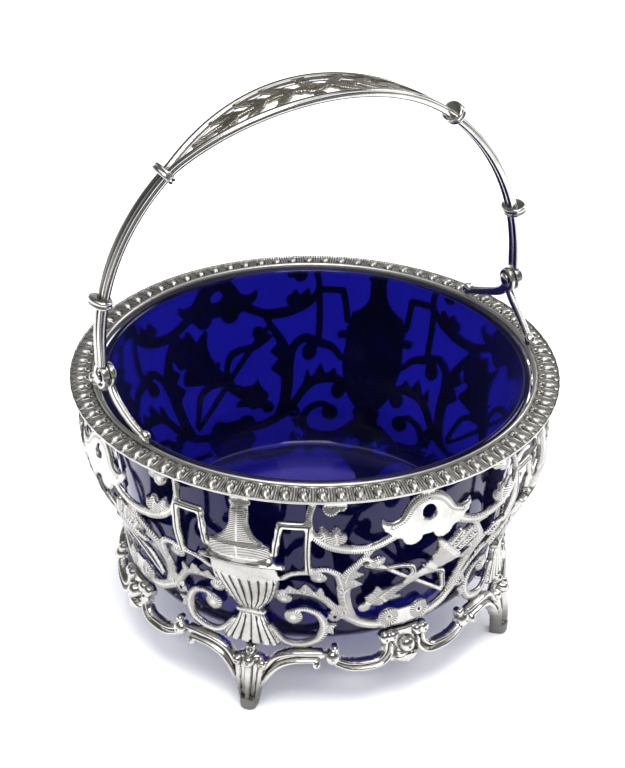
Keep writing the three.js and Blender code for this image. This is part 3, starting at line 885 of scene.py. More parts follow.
@dataclass(frozen=True)
class SterlingSilver:
    """Sterling silver, polished and lightly tarnished.

    The eye gets a warm white metal whose hollows and cuts stay grey-brown where a cloth never reaches.

    Attributes:
        name: the material's name.
        bright: the polished metal.
        tarnish: the dulled metal.
        roughness: of the polished metal.
        hollow: how dull its hollows are, 1 fully.
        engraved: whether it has the engraver's cuts.
        footed: whether it turns darker and rougher towards the table, partly tarnish and partly painted
            shade.
        cut_depth: of the cuts, in millimetres.
        cut_dark: how dark a cut is, and the darkest that it makes the metal.
        cloud_size: of the patches of tarnish, in millimetres.
        cloud_dark: how dull they are.
        grain_size: of the wear from polishing, in millimetres.
        grain_rough: how much rougher it makes the metal.
        dull_rough: how much rougher tarnish is.
        foot_zone: heights in millimetres between which the feet turn darker.
        foot_dark: how dark they are at the table.
    """

    name: str
    bright: str = "CAC8C2"
    tarnish: str = "35302A"
    roughness: float = 0.2
    hollow: float = 0.7
    engraved: bool = False
    footed: bool = False
    cut_depth: float = 0.08
    cut_dark: Pair = (0.95, 0.97)
    cloud_size: float = 9.0
    cloud_dark: float = 0.35
    grain_size: float = 0.6
    grain_rough: float = 0.1
    dull_rough: float = 0.22
    foot_zone: Pair = (14.0, 5.0)
    foot_dark: float = 0.8

    def cuts(self, tree: NodeTree) -> NodeSocket:
        """Adds the engraver's cuts.

        Args:
            tree: the material's nodes.

        Returns:
            1 in a cut and 0 beside it.
        """
        read = {
            label: add_node(tree, "ShaderNodeAttribute", {"attribute_name": label}).outputs["Fac"]
            for label in ("along", "across", "cut")
        }
        side = maths(tree, "ABSOLUTE", read["across"])
        total: NodeSocket | None = None
        for style in CUT_STYLES:
            chosen = maths(tree, "COMPARE", read["cut"], float(style.cut.value), 0.4)
            within = maths(tree, "MULTIPLY", maths(tree, "GREATER_THAN", side, style.inner - 1e-3),
                           maths(tree, "LESS_THAN", side, style.outer))
            here = maths(tree, "MULTIPLY", chosen, within)
            if style.pitch:
                phase = maths(tree, "ADD", maths(tree, "DIVIDE", read["along"], style.pitch),
                              maths(tree, "ADD", maths(tree, "MULTIPLY", side, style.slant),
                                    maths(tree, "MULTIPLY", read["across"], style.tilt)))
                wave = maths(tree, "COSINE", maths(tree, "MULTIPLY", phase, 2 * math.pi))
                here = maths(tree, "MULTIPLY", here, ramp(tree, wave, (1 - 2 * style.share, 1.0)))
            total = here if total is None else maths(tree, "ADD", total, here)
        return total

    def build(self) -> Material:
        """Makes the material.

        Returns:
            The material, with its patterns in object space.
        """
        material, tree, shader = new_material(self.name)
        place = add_node(tree, "ShaderNodeTexCoord").outputs["Object"]
        # Cloudy tarnish, and hollows, where the surface's pointiness falls under its flat value of 0.5.
        cloud = noise(tree, place, self.cloud_size, 4.0, 0.6)
        edge = add_node(tree, "ShaderNodeNewGeometry").outputs["Pointiness"]
        dark = maths(tree, "MAXIMUM", ramp(tree, edge, (0.5, 0.45), (0.0, self.hollow)),
                     ramp(tree, cloud, (0.4, 0.75), (0.0, self.cloud_dark), smooth=False))
        # The feet turn darker and rougher towards the table by height alone: partly tarnish, partly painted
        # shade for the dark surroundings that their lower part reflects.
        if self.footed:
            bright_from, dark_below = self.foot_zone
            height = add_node(tree, "ShaderNodeSeparateXYZ", {}, {0: place}).outputs["Z"]
            dull = ramp(tree, height, (bright_from * MM, dark_below * MM), (0.0, self.foot_dark))
            dark = maths(tree, "MAXIMUM", dark, dull)
        # Fine wear from polishing.
        grain = noise(tree, place, self.grain_size, 2.0, 0.7)
        surface = bump(tree, Height=grain, Strength=0.12, Distance=0.05 * MM)
        if self.engraved:
            cut = self.cuts(tree)
            share, most = self.cut_dark
            dark = maths(tree, "MINIMUM", maths(tree, "ADD", dark, maths(tree, "MULTIPLY", cut, share)), most)
            surface = add_node(tree, "ShaderNodeBump", {"invert": True}, {
                "Height": cut, "Strength": 0.8, "Distance": self.cut_depth * MM,
                "Normal": surface}).outputs[0]
        rough = maths(tree, "ADD", maths(tree, "MULTIPLY", grain, self.grain_rough),
                      maths(tree, "ADD", self.roughness - self.grain_rough / 2,
                            maths(tree, "MULTIPLY", dark, self.dull_rough)))
        feed(tree, shader, {
            "Metallic": 1.0, "Base Color": mix(tree, dark, linear(self.bright), linear(self.tarnish)),
            "Roughness": rough, "Normal": surface})
        return material


@dataclass(frozen=True)
class CobaltGlass:
    """Cobalt glass, blown in a mould and fire polished.

    The eye gets a deep violet blue wherever light passes the wall, near black elsewhere, under soft
    reflections and a faint film of handling.

    Attributes:
        name: the material's name.
        through: white light that has passed the wall.
        painted_base_light: painted light in the middle of the base, a paler violet that stands in for the
            bright table seen through it.
        reflected: the tint of its reflections.
        film: the film's tint.
        painted_light_radius: radii in millimetres between which the painted light fades in.
        painted_light_height: the height in millimetres below which it is painted.
        wave: how long the wall's waves are, in millimetres.
    """

    name: str
    through: str = "0A0962"
    painted_base_light: str = "3A3486"
    reflected: str = "B4B0E6"
    film: str = "6E6ED0"
    painted_light_radius: Pair = (36.0, 32.0)
    painted_light_height: float = 28.0
    wave: float = 14.0

    def build(self) -> Material:
        """Makes the material.

        Returns:
            The glass, with a faint waviness from the mould.
        """
        material, tree, shader = new_material(self.name)
        place = add_node(tree, "ShaderNodeTexCoord").outputs["Object"]
        wave = noise(tree, place, self.wave, 1.0)
        shade = ramp(tree, wave, (0.3, 0.7), (0.88, 1.0), smooth=False)
        # Painted light in the middle of the base: a paler violet stands in for the bright table seen through
        # it, though the glass is no thinner there.
        light_from, light_within = self.painted_light_radius
        split = add_node(tree, "ShaderNodeSeparateXYZ", {}, {0: place})
        off_axis = maths(tree, "SQRT", maths(tree, "ADD", maths(tree, "POWER", split.outputs["X"], 2.0),
                                             maths(tree, "POWER", split.outputs["Y"], 2.0)))
        painted_base_light = maths(tree, "MULTIPLY", ramp(tree, off_axis, (light_from * MM, light_within * MM)),
                     maths(tree, "LESS_THAN", split.outputs["Z"], self.painted_light_height * MM))
        feed(tree, shader, {
            "Base Color": mix(tree, painted_base_light, mix(tree, shade, BLACK, linear(self.through)), linear(self.painted_base_light)),
            "Roughness": ramp(tree, wave, (0.0, 1.0), (0.05, 0.12), smooth=False),
            "Normal": bump(tree, Height=wave, Strength=0.2, Distance=0.3 * MM),
            "Transmission Weight": 1.0, "IOR": 1.5, "Specular IOR Level": 0.11,
            "Specular Tint": linear(self.reflected), "Sheen Weight": 0.06, "Sheen Roughness": 0.7,
            "Sheen Tint": linear(self.film)})
        return material


SHEET_SILVER = SterlingSilver("engraved_sterling_sheet", bright="C8C6C0", engraved=True, roughness=0.24)
GRIP_SILVER = SterlingSilver("engraved_sterling_grip", bright="A8A296", engraved=True, roughness=0.28,
                             hollow=0.9)
CAST_SILVER = SterlingSilver("cast_sterling", bright="D4D2CC", roughness=0.2, hollow=0.95, footed=True)
RIM_SILVER = SterlingSilver("stamped_sterling_border", roughness=0.32, hollow=0.9, engraved=True)
DRAWN_SILVER = SterlingSilver("drawn_sterling_wire", roughness=0.16, hollow=0.9)
LINER_GLASS = CobaltGlass("cobalt_glass")


# Repeats


def ring_tree(name: str) -> NodeTree:
    """A Geometry Nodes tree that sets copies of its geometry evenly round the Z axis.

    Args:
        name: the tree's name.

    Returns:
        The tree, with the inputs Count, Start and Finish.
    """
    tree = bpy.data.node_groups.new(name, "GeometryNodeTree")
    face = tree.interface
    face.new_socket("Geometry", in_out="INPUT", socket_type="NodeSocketGeometry")
    face.new_socket("Count", in_out="INPUT", socket_type="NodeSocketInt")
    face.new_socket("Start", in_out="INPUT", socket_type="NodeSocketFloat")
    face.new_socket("Finish", in_out="INPUT", socket_type="NodeSocketMaterial")
    face.new_socket("Geometry", in_out="OUTPUT", socket_type="NodeSocketGeometry")
    given = add_node(tree, "NodeGroupInput")
    line = add_node(tree, "GeometryNodeMeshLine", {},
                    {"Count": given.outputs["Count"], "Offset": (0.0, 0.0, 0.0)})
    step = maths(tree, "DIVIDE", 2 * math.pi, given.outputs["Count"])
    turn = maths(tree, "MULTIPLY_ADD", add_node(tree, "GeometryNodeInputIndex").outputs[0], step,
                 given.outputs["Start"])
    axis = add_node(tree, "ShaderNodeCombineXYZ", {}, {"Z": turn})
    rotation = add_node(tree, "FunctionNodeEulerToRotation", {}, {0: axis.outputs[0]})
    copies = add_node(tree, "GeometryNodeInstanceOnPoints", {}, {
        "Points": line.outputs[0], "Instance": given.outputs["Geometry"], "Rotation": rotation.outputs[0]})
    real = add_node(tree, "GeometryNodeRealizeInstances", {}, {0: copies.outputs[0]})
    # Weld the seams between copies.
    welded = add_node(tree, "GeometryNodeMergeByDistance", {}, {"Geometry": real.outputs[0],
                                                                "Distance": 0.002 * MM})
    finish = add_node(tree, "GeometryNodeSetMaterial", {}, {"Geometry": welded.outputs[0],
                                                            "Material": given.outputs["Finish"]})
    add_node(tree, "NodeGroupOutput", {}, {0: finish.outputs[0]})
    return tree


class Workshop:
    """Turns meshes into finished pieces of the basket."""

    def __init__(self) -> None:
        """Starts with no finishes made."""
        self._materials: dict[str, Material] = {}
        self._ring = ring_tree("copies_round_the_basket")

    def finish(self, finish: SterlingSilver | CobaltGlass) -> Material:
        """The material of a finish, made once."""
        if finish.name not in self._materials:
            self._materials[finish.name] = finish.build()
        return self._materials[finish.name]

    def ring(self, mesh: Mesh, count: int, start: float, finish: SterlingSilver) -> Mesh:
        """Sets copies of a mesh round the basket with Geometry Nodes.

        Args:
            mesh: one copy, in place.
            count: how many copies.
            start: the first copy's turn, in degrees.
            finish: the copies' finish.

        Returns:
            The plain mesh of all copies.
        """
        maker = bpy.data.objects.new("ring_maker", mesh)
        bpy.context.scene.collection.objects.link(maker)
        modifier = maker.modifiers.new("ring", "NODES")
        modifier.node_group = self._ring
        sockets = {item.name: item.identifier for item in self._ring.interface.items_tree
                   if item.item_type == "SOCKET" and item.in_out == "INPUT"}
        modifier[sockets["Count"]] = count
        modifier[sockets["Start"]] = math.radians(start)
        modifier[sockets["Finish"]] = self.finish(finish)
        graph = bpy.context.evaluated_depsgraph_get()
        result = bpy.data.meshes.new_from_object(maker.evaluated_get(graph), depsgraph=graph)
        bpy.data.objects.remove(maker)
        return result

    def place(self, name: str, mesh: Mesh, finish: SterlingSilver | CobaltGlass, body: str,
              nodes: Sequence[str]) -> None:
        """Makes a finished piece that stands for CAD nodes.

        Args:
            name: the piece's name.
            mesh: its mesh, in place.
            finish: its finish.
            body: the CAD body that it rides on.
            nodes: the CAD nodes that it replaces.
        """
        mesh.name = name
        mesh.materials.clear()
        mesh.materials.append(self.finish(finish))
        piece = bpy.data.objects.new(name, mesh)
        bpy.context.scene.collection.objects.link(piece)
        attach(piece, body)
        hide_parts(*nodes)
        log.info("%s: %d faces", name, len(mesh.polygons))


# The basket's shared surface


@dataclass(frozen=True)
class BodySurface:
    """The bombe surface that body and gallery follow, as the frame has it, in millimetres.

    Attributes:
        foot: height of the body's lower edge.
        top: height of the collar's middle.
        belly_radius: the widest radius.
        belly_height: where it lies.
        waist_radius: the narrowest radius.
        waist_height: where it lies.
        mouth_radius: the radius at the top.
        splay: how far the feet stand outside the waist.
    """

    foot: float = 20.2
    top: float = 74.6
    belly_radius: float = 65.8
    belly_height: float = 63.0
    waist_radius: float = 54.0
    waist_height: float = 28.0
    mouth_radius: float = 64.4
    splay: float = 3.6

    def radius(self, z: Array | float) -> Array:
        """The surface's radius at some heights.

        Args:
            z: the heights.

        Returns:
            The radius at each of them.
        """
        z = np.asarray(z, float)
        above = (z - self.belly_height) / (self.top - self.belly_height)
        t = np.clip((z - self.waist_height) / (self.belly_height - self.waist_height), 0, 1)
        below = np.clip((self.waist_height - z) / self.waist_height, 0, 1)
        bowl = self.waist_radius + (self.belly_radius - self.waist_radius) * t * t * (3 - 2 * t)
        shoulder = self.belly_radius - (self.belly_radius - self.mouth_radius) * above**2
        return np.where(z > self.belly_height, shoulder, bowl + self.splay * below**2)

    def at(self, angle: float, z: float) -> Pair:
        """A point of a motif's drawing from its angle off the motif's middle and its height."""
        return float(math.radians(angle) * self.radius(z)), z

    def flatten(self, places: Array, middle: float) -> Array:
        """Grid places, in degrees and height, as points of the drawing of a motif."""
        return np.column_stack([np.radians(places[:, 0] - middle) * self.radius(places[:, 1]), places[:, 1]])

    def bend(self, places: Array, out: Array) -> Array:
        """Grid places and how far they stand out, as points in space.

        Args:
            places: degrees and heights.
            out: how far each stands out.

        Returns:
            The points.
        """
        turn = np.radians(places[:, 0])
        radius = self.radius(places[:, 1]) + out
        return np.column_stack([radius * np.cos(turn), radius * np.sin(turn), places[:, 1]])


SURFACE = BodySurface()

# How shapes are often cut.
FEATHERED = {"cut": Cut.FEATHER, "rise": 0.15}
VEINED = {"cut": Cut.VEINS, "both": True}
RAYED = {"cut": Cut.RAYS, "form": Form.ROUND}


def raised(proud: float, rise: float) -> dict[str, object]:
    """The style of a rounded shape, from how far its edge stands up and its middle over that."""
    return {"form": Form.ROUND, "proud": proud, "rise": rise}


def band(points: Sequence[Pair], widths: Sequence[float], sharp: bool = False, **style: object) -> Band:
    """A ribbon through points given in degrees and height on the body."""
    placed = [SURFACE.at(*p) for p in points]
    return Band(outline=np.array(placed) if sharp else smooth_path(placed), widths=widths, **style)


def disc(point: Pair, radius: float, **style: object) -> Disc:
    """A round about a point given in degrees and height on the body."""
    return Disc(outline=np.array([SURFACE.at(*point)]), radius=radius, **style)


def patch(points: Sequence[Pair], **style: object) -> Plate:
    """A straight-sided outline through points given in degrees and height on the body."""
    return Plate(outline=np.array([SURFACE.at(*p) for p in points]), **style)


def vase(points: Sequence[Pair], **style: object) -> Plate:
    """A shape with the same half width on both sides, through points of half width and height."""
    right = smooth_path(points, 5)
    return Plate(outline=np.vstack([right, (right * [-1, 1])[::-1]]), **style)


# Pierced body


@dataclass
class PiercedBody:
    """The raised, saw-pierced and engraved silver body with its collar.

    Attributes:
        motifs: urns, and cartouches, round the body.
        sheet: the silver's thickness.
        collar_depth: how wide the plain collar is.
        below: how far the grid runs on under the body's edge.
        above: how far it runs on over the collar's middle.
        column: degrees from one grid line to the next.
        row: millimetres from one grid line to the next.
    """

    motifs: int = 4
    sheet: float = 1.0
    collar_depth: float = 1.8
    below: float = 1.4
    above: float = 2.0
    column: float = 0.54
    row: float = 0.53

    def urn(self) -> list[Shape]:
        """Scrolls, handles and leaves beside an urn, then the urn itself, about its middle.

        Returns:
            The shapes, the lowest first.
        """
        bowl = [(8.0, 60.4), (8.7, 57.5), (9.1, 54.3), (9.3, 50.0), (9.6, 46.5), (8.7, 42.5), (7.4, 39.0),
                (6.0, 36.0), (3.9, 33.6), (2.7, 32.4)]
        skirt = [(3.4, 30.6), (4.3, 28.0), (5.2, 26.0), (6.3, 24.0), (7.2, 22.5), (7.9, 21.0), (8.3, 20.0)]
        neck = [(2.5, 70.8), (2.7, 68.5), (2.8, 66), (4.2, 63), (5.6, 61.6), (7.6, 60.2)]
        finial = [(1.7, 75), (3.1, 72.4), (1.6, 70), (-1.6, 70), (-3.1, 72.4), (-1.7, 75)]
        leaves = [[(9.8, 40.8), (11.2, 43.9), (12.9, 42.4), (13.2, 40.4)],
                  [(13.4, 41), (15.4, 45.1), (17.2, 42.4), (17.6, 39.8)],
                  [(17.9, 40.2), (19.6, 43.6), (20.6, 40.6), (21.2, 37.4)]]
        curls = [((18.9, 48.1), 2.3, 0.5), ((12.1, 30.4), 2.6, 0.5), ((9.7, 37.6), 2.2, 0.4),
                 ((23.9, 30.5), 1.9, 0.4)]
        # Rolls across the foot, the lip and the shoulder: half length, height, width, proud and rise.
        rolls = [(3.2, 31.4, 2.3, 0.6, 1.0), (9.2, 55.2, 1.0, 1.2, 0.3), (11.3, 53.1, 1.7, 1.1, 0.7)]
        return [
            band([(9.6, 46.8), (12.2, 49.4), (16, 50.6), (20.3, 51.8), (23.1, 49.8), (24.2, 47.2),
                  (25.4, 42)], [1.6, 1.9, 2.2, 2.4, 2.4, 2.6], both=True, **FEATHERED),
            band([(12.1, 32.4), (15.3, 33.2), (19.2, 31.2), (21, 27), (19.4, 23), (14.3, 21.2), (9.6, 22),
                  (5.2, 26.5)], [1.4, 1.8, 2.2, 2.7, 2.4, 2.0, 1.8], both=True, **FEATHERED),
            patch([(22.3, 28.2), (25.3, 27.7), (23.6, 26.3), (23.9, 24.4), (21.2, 25.2)], **VEINED),
            band([(8.8, 40.3), (12.5, 41), (17.2, 40.2), (20.5, 37.8), (22.7, 35), (25.8, 31.6)],
                 [2.0, 2.6, 2.6, 2.4, 2.8], rise=0.15, **VEINED),
            *(patch(leaf, rise=0.1, **VEINED) for leaf in leaves),
            band([(8.4, 57.6), (9.7, 67.3), (16.4, 67.3), (16.4, 50.5)], [2.0], sharp=True, cut=Cut.LINE,
                 form=Form.TWIN, proud=0.1, rise=0.35, both=True),
            *(disc(place, size, rise=rise, both=True, **RAYED) for place, size, rise in curls),
            Plate(outline=np.array(finial), cut=Cut.HATCH, form=Form.ROUND, rise=0.5),
            vase(neck, cut=Cut.BANDS, form=Form.ROUND, rise=0.7),
            vase(bowl, low=45.0, **raised(0.1, 1.2)),
            vase(bowl, cut=Cut.HATCH, low=54.6, high=60.2, **raised(0.2, 1.2)),
            vase(bowl, cut=Cut.GROOVES, form=Form.FLUTED, proud=0.2, rise=1.5, flutes=11, high=46.6,
                 crest=1.6),
            vase(skirt, cut=Cut.GROOVES, form=Form.FLUTED, proud=0.1, rise=1.3, flutes=8, low=20.2, hem=0.9),
            *(Band(outline=np.array([(-half, z), (half, z)]), widths=[wide], **raised(proud, rise))
              for half, z, wide, proud, rise in rolls),
        ]

    def cartouche(self) -> list[Shape]:
        """An arched head with sweeping arms over an oval frame of leaves, about its middle.

        Returns:
            The shapes, the lowest first.
        """
        crown = smooth_path([(0, 73.9), (2.2, 73.3), (4.6, 71.4), (6.1, 68.4), (8.9, 66.7)], 5)
        horn = [(10.4, 67.0), (11.7, 68.4), (11.9, 66.2), (11.0, 64.3), (6.9, 61.0)]
        half = [tuple(p) for p in crown] + horn
        arm = [(7.5, 63.4), (11.5, 60.8), (15.4, 59.4), (20.7, 60), (25.2, 62.2), (27.9, 65.4), (28.7, 69.5),
               (27.7, 74.2)]
        arm_leaf = [(20.4, 61.8), (19.7, 63.4), (20.1, 65.2), (21.2, 65.2), (21.5, 66.6), (22.6, 67.3),
                    (23.3, 66.1), (23.4, 65.2), (24.4, 65.9), (25.2, 65.2), (24.4, 62.2)]
        frame_foot = [(-20.8, 32.6), (-16.9, 29.6), (-12.1, 27), (-6.3, 25.8), (0, 25.4), (6.3, 25.8),
                      (12.1, 27), (16.9, 29.6), (20.8, 32.6)]
        return [
            band(arm, [3.0, 2.6, 2.9, 3.0, 2.6, 2.0, 1.8, 1.8], both=True, **FEATHERED),
            band([(14.0, 58.6), (16.5, 54), (18.6, 49.7), (19.2, 44), (19, 39), (18, 34.5), (16.2, 30.0)],
                 [1.7, 2.4, 3.4, 4.2, 3.6, 3.2, 2.8], rise=0.2, **VEINED),
            patch([(17.2, 50.6), (14.6, 48.6), (16.6, 46.8), (18.4, 46)], **VEINED),
            patch([(17.2, 46.6), (14.3, 43.6), (15.9, 42.6), (18.0, 41)], **VEINED),
            band(frame_foot, [2.6, 2.8, 2.6, 2.6, 2.8, 2.6], **FEATHERED),
            patch([(-5, 29.8), (5, 29.8), (5, 25), (-5, 25)], rise=0.1),
            disc((4.9, 27.9), 3.0, rise=0.4, both=True, **RAYED),
            disc((23.7, 72.2), 2.1, cut=Cut.RAYS, rise=0.2, both=True),
            disc((21.4, 73.2), 1.8, cut=Cut.RAYS, rise=0.2, both=True),
            patch([(24.9, 62.4), (26.6, 64.6), (26.0, 68.0), (24.2, 66.0), (22.8, 62.0)], rise=0.2, **VEINED),
            patch(arm_leaf, form=Form.TWIN, rise=0.35, **VEINED),
            patch(half + [(-x, z) for x, z in half[::-1]], rise=0.2),
            disc((4.0, 61.3), 3.0, rise=0.2, both=True),
            band([(0, 72.4), (2.8, 71.6), (4.8, 69.6), (6.6, 66.9), (9.4, 65.4)], [2.6, 2.6, 2.4, 2.0, 1.6],
                 both=True, proud=0.1, **FEATHERED),
        ]

    def trophy(self) -> list[Shape]:
        """A bow behind a quiver of arrows, about the cartouche's middle.

        Returns:
            The shapes, the lowest first.
        """
        feathers = [(6.6, 54.8), (9.3, 58.8), (10.9, 57.2), (12.4, 58.4), (13.8, 56.2), (16.0, 53.2),
                    (14.2, 49.0), (10.0, 51)]
        arrows = [[(6.8, 52.6), (9.3, 58.2)], [(8.9, 51.0), (12.2, 57.7)], [(11.2, 48.8), (15.1, 53.6)]]
        tassel = [(-2.0, 41.4), (-5.6, 39.8), (-8.6, 39.8), (-10.2, 41.9), (-10.7, 39.4), (-13.1, 36.8),
                  (-12.2, 34.9), (-9.9, 33.0), (-7.4, 32.8), (-5.4, 34.1), (-1.7, 34.6), (-2.4, 35.8),
                  (-4.0, 36.4), (-1.4, 38.4), (0.6, 40.0)]
        mouth = [(3.2, 58.2), (5.4, 56.2), (9.5, 51.4), (13.4, 47.0), (14.6, 44.9), (11, 43.9)]
        neck = [(3.4, 49.4), (4.0, 53.2)]
        quiver = mouth + [(7.4, 43.2), (3.6, 43.0), (-0.2, 39.9), (-2.9, 41.2), (-0.8, 43.8),
                          (1.9, 46.4)] + neck
        return [
            band([(-15.2, 55.9), (12.9, 31.2)], [1.3], sharp=True, form=Form.ROUND, rise=0.3),
            band([(-14.6, 52.8), (-10, 50.3), (-5.6, 50.0), (-2.2, 48.4), (-0.8, 45.6), (-0.8, 43.6)], [1.7],
                 cut=Cut.LINE, form=Form.ROUND, rise=0.4),
            band([(1.2, 42.4), (6.5, 42.1), (10, 40.2), (11.3, 37.6), (13.4, 32.4)], [1.7], cut=Cut.LINE,
                 form=Form.ROUND, rise=0.4),
            disc((-11.9, 53.8), 2.1, rise=0.4, **RAYED),
            patch(feathers, cut=Cut.VEINS),
            *(band(arrow, [1.7], sharp=True, cut=Cut.FEATHER, **raised(0.2, 0.5)) for arrow in arrows),
            patch(tassel, cut=Cut.VEINS, form=Form.TWIN, rise=0.4),
            disc((-12.5, 32.9), 1.9, cut=Cut.DOTS, form=Form.ROUND, rise=0.4),
            patch(quiver, rise=0.45),
            patch(mouth + [(7.6, 43.2), (2.5, 49.0)] + neck, cut=Cut.HATCH, proud=0.1, rise=0.4),
            band([(1.4, 47.6), (6.4, 42.6)], [1.0], sharp=True, **raised(0.4, 0.3)),
            band([(3.6, 56.6), (13.4, 45.0)], [1.2], sharp=True, **raised(0.4, 0.3)),
        ]

    def drawing(self) -> Drawing:
        """A quarter of the body: a cartouche between two half urns, under the collar.

        Returns:
            The drawing, with its holes.
        """
        half = 180 / self.motifs
        reach = SURFACE.belly_radius * math.radians(half) + self.above
        collar = Band(outline=np.array([(-reach, SURFACE.top), (reach, SURFACE.top)]),
                      widths=[self.collar_depth], **raised(0.3, 0.4))
        shapes = [(0.0, s) for s in self.cartouche()]
        for shape in self.urn():
            shapes += [(half, shape), (-half, shape)]
        shapes += [(0.0, s) for s in self.trophy()] + [(0.0, collar)]
        # Through the head, the rosettes and the curls beside the urns.
        holes = [(0.0, disc((0, 67.9), 2.1)), (0.0, disc((4.9, 27.9), 0.5, both=True)),
                 (half, disc((23.9, 30.5), 0.6, both=True)), (-half, disc((23.9, 30.5), 0.6, both=True))]
        return Drawing(shapes, holes, SURFACE.flatten)

    def build(self, shop: Workshop) -> None:
        """Cuts, bends and engraves the body.

        Args:
            shop: makes the piece.
        """
        half = 180 / self.motifs
        drawing = self.drawing()

        def flatten(places: Array, middle: float) -> Array:
            """Turns places anywhere round the body back into the drawn quarter, and flattens them."""
            quarter = (places[:, 0] + half) % (2 * half) - half
            return SURFACE.flatten(np.column_stack([quarter, places[:, 1]]), middle)

        whole = Drawing(drawing.shapes, drawing.holes, flatten)
        sheet = Sheet(whole, (-half, SURFACE.foot - self.below), (half, SURFACE.top + self.above),
                      (self.column, self.row), SURFACE.bend, self.sheet, copies=self.motifs, closed=True)
        shop.place("body_engraved", sheet.build("body_engraved"), SHEET_SILVER, "basket", ["pierced_body"])


# Rim


@dataclass
class RimBorder:
    """The egg-and-dart border, one egg and two half darts repeated round the mouth.

    Attributes:
        inner: the inner radius.
        ring: width of the plain bright ring inside the eggs.
        outer: the outer radius.
        top: height of the ring's crown.
        bottom: height of the underside.
        crown: how far the ring is domed.
        fall: how much lower the outer edge lies than the ring.
        edge: radius of the rounded outer edge.
        undercut: how far the underside stands back from it.
        egg_half: half an egg's width and length.
        egg_middle: from the ring to the egg's middle.
        egg_rise: how far an egg stands over the ground.
        husk_gap: from the egg to the middle of its husk.
        husk_open: how much more open the husk is towards the mouth.
        husk_half: half the husk's width, as a share of its size.
        husk_rise: how far it stands.
        dart_half: half a dart's width.
        dart_rise: how far it stands.
        ground: how deep the ground lies under the ring's edge.
        bare: how far round an egg the ground stays without lines, across and along.
        steps: faces along one egg and dart.
        ring_steps: faces across the ring.
        relief_steps: faces across the eggs.
    """

    inner: float = 61.2
    ring: float = 1.2
    outer: float = 68.8
    top: float = 78.0
    bottom: float = 75.8
    crown: float = 0.5
    fall: float = 0.8
    edge: float = 0.4
    undercut: float = 0.9
    egg_half: Pair = (1.12, 1.85)
    egg_middle: float = 3.5
    egg_rise: float = 1.1
    husk_gap: float = 0.42
    husk_open: float = 0.3
    husk_half: float = 0.16
    husk_rise: float = 0.3
    dart_half: float = 0.9
    dart_rise: float = 0.12
    ground: float = 0.4
    bare: Pair = (0.25, 0.2)
    steps: int = 20
    ring_steps: int = 7
    relief_steps: int = 19

    def stands(self, s: Array, r: float) -> Array:
        """The relief's height at a way along the rim and a way out from the plain ring.

        Args:
            s: millimetres along the rim from an egg's middle.
            r: millimetres out from the ring.

        Returns:
            The height over the ring's edge.
        """
        wide, long = self.egg_half
        inside = np.clip(1 - (s / wide) ** 2 - ((r - self.egg_middle) / long) ** 2, 0, 1)
        egg = self.egg_rise * np.sqrt(inside)
        shell = np.hypot(s / (wide + self.husk_gap),
                         (r - self.egg_middle + self.husk_open) / (long + self.husk_gap + self.husk_open))
        husk = self.husk_rise * np.clip(1 - ((shell - 1) / self.husk_half) ** 2, 0, 1)
        dart = self.dart_rise * np.clip(1 - ((EGG_PITCH / 2 - np.abs(s)) / self.dart_half) ** 2, 0, 1)
        return np.maximum(np.maximum(egg, husk), dart) - self.ground

    def cell(self) -> Mesh:
        """One egg with half a dart on each side, its section closed round the border.

        Returns:
            The mesh, its seams open.
        """
        turns = np.linspace(-0.5, 0.5, self.steps + 1) * 2 * math.pi / EGGS
        s = turns * EGG_RADIUS
        rows: list[tuple[Array, Array]] = []

        def row(radius: Array | float, z: Array | float) -> None:
            """Adds a row of points along the border."""
            rows.append((np.full_like(s, 1.0) * radius, np.full_like(s, 1.0) * z))

        row(self.inner, self.bottom)
        shoulder = self.top - self.crown
        row(self.inner, shoulder)
        for t in np.linspace(0.12, 1, self.ring_steps):
            row(self.inner + self.ring * t, shoulder + self.crown * math.sin(math.pi * t) ** 0.7)
        zone = self.outer - self.edge - (self.inner + self.ring)
        first_relief = len(rows)
        for r in np.linspace(0.2, zone, self.relief_steps):
            slope = shoulder - self.fall * r / zone
            row(self.inner + self.ring + r, slope + self.stands(s, r))
        last_relief = len(rows)
        # The edge swells a little beside each egg.
        swell = 0.05 + 0.05 * np.cos(2 * math.pi * s / EGG_PITCH)
        for inset, drop in ((0.2, 0.35), (0.1, 0.7), (0.25, 1.0)):
            row(self.outer - inset + swell, self.top - self.fall - drop)
        row(self.outer - self.undercut, self.bottom)
        count, size = len(rows), len(s)
        co = np.array([[(r[i] * math.cos(turns[i]), r[i] * math.sin(turns[i]), z[i]) for i in range(size)]
                       for r, z in rows]).reshape(-1, 3) * MM
        faces, marks = [], []
        wide, long = (half + more for half, more in zip(self.egg_half, self.bare))
        for k in range(count):
            below = (k + 1) % count
            for i in range(size - 1):
                faces.append((k * size + i, below * size + i, below * size + i + 1, k * size + i + 1))
                out = (k - first_relief) / (last_relief - first_relief) * zone
                lined = np.hypot(s[i] / wide, (out - self.egg_middle) / long) >= 1
                marks.append(Cut.DARTS.value if lined and first_relief <= k < last_relief else 0)
        mesh = bpy.data.meshes.new("egg_and_dart")
        mesh.from_pydata(co.tolist(), [], faces)
        ways = np.array([[s[v % size] for v in face] for face in faces]).ravel()
        write_cuts(mesh, ways, np.full(len(ways), 0.5), marks)
        mesh.shade_smooth()
        return mesh

    def build(self, shop: Workshop) -> None:
        """Repeats the egg and the dart round the mouth.

        Args:
            shop: makes the piece.
        """
        mesh = shop.ring(self.cell(), EGGS, 0.0, RIM_SILVER)
        mesh.set_sharp_from_angle(angle=math.radians(RIM_SHARP))
        shop.place("rim_egg_and_dart", mesh, RIM_SILVER, "basket", ["rim_border"])


# Gallery


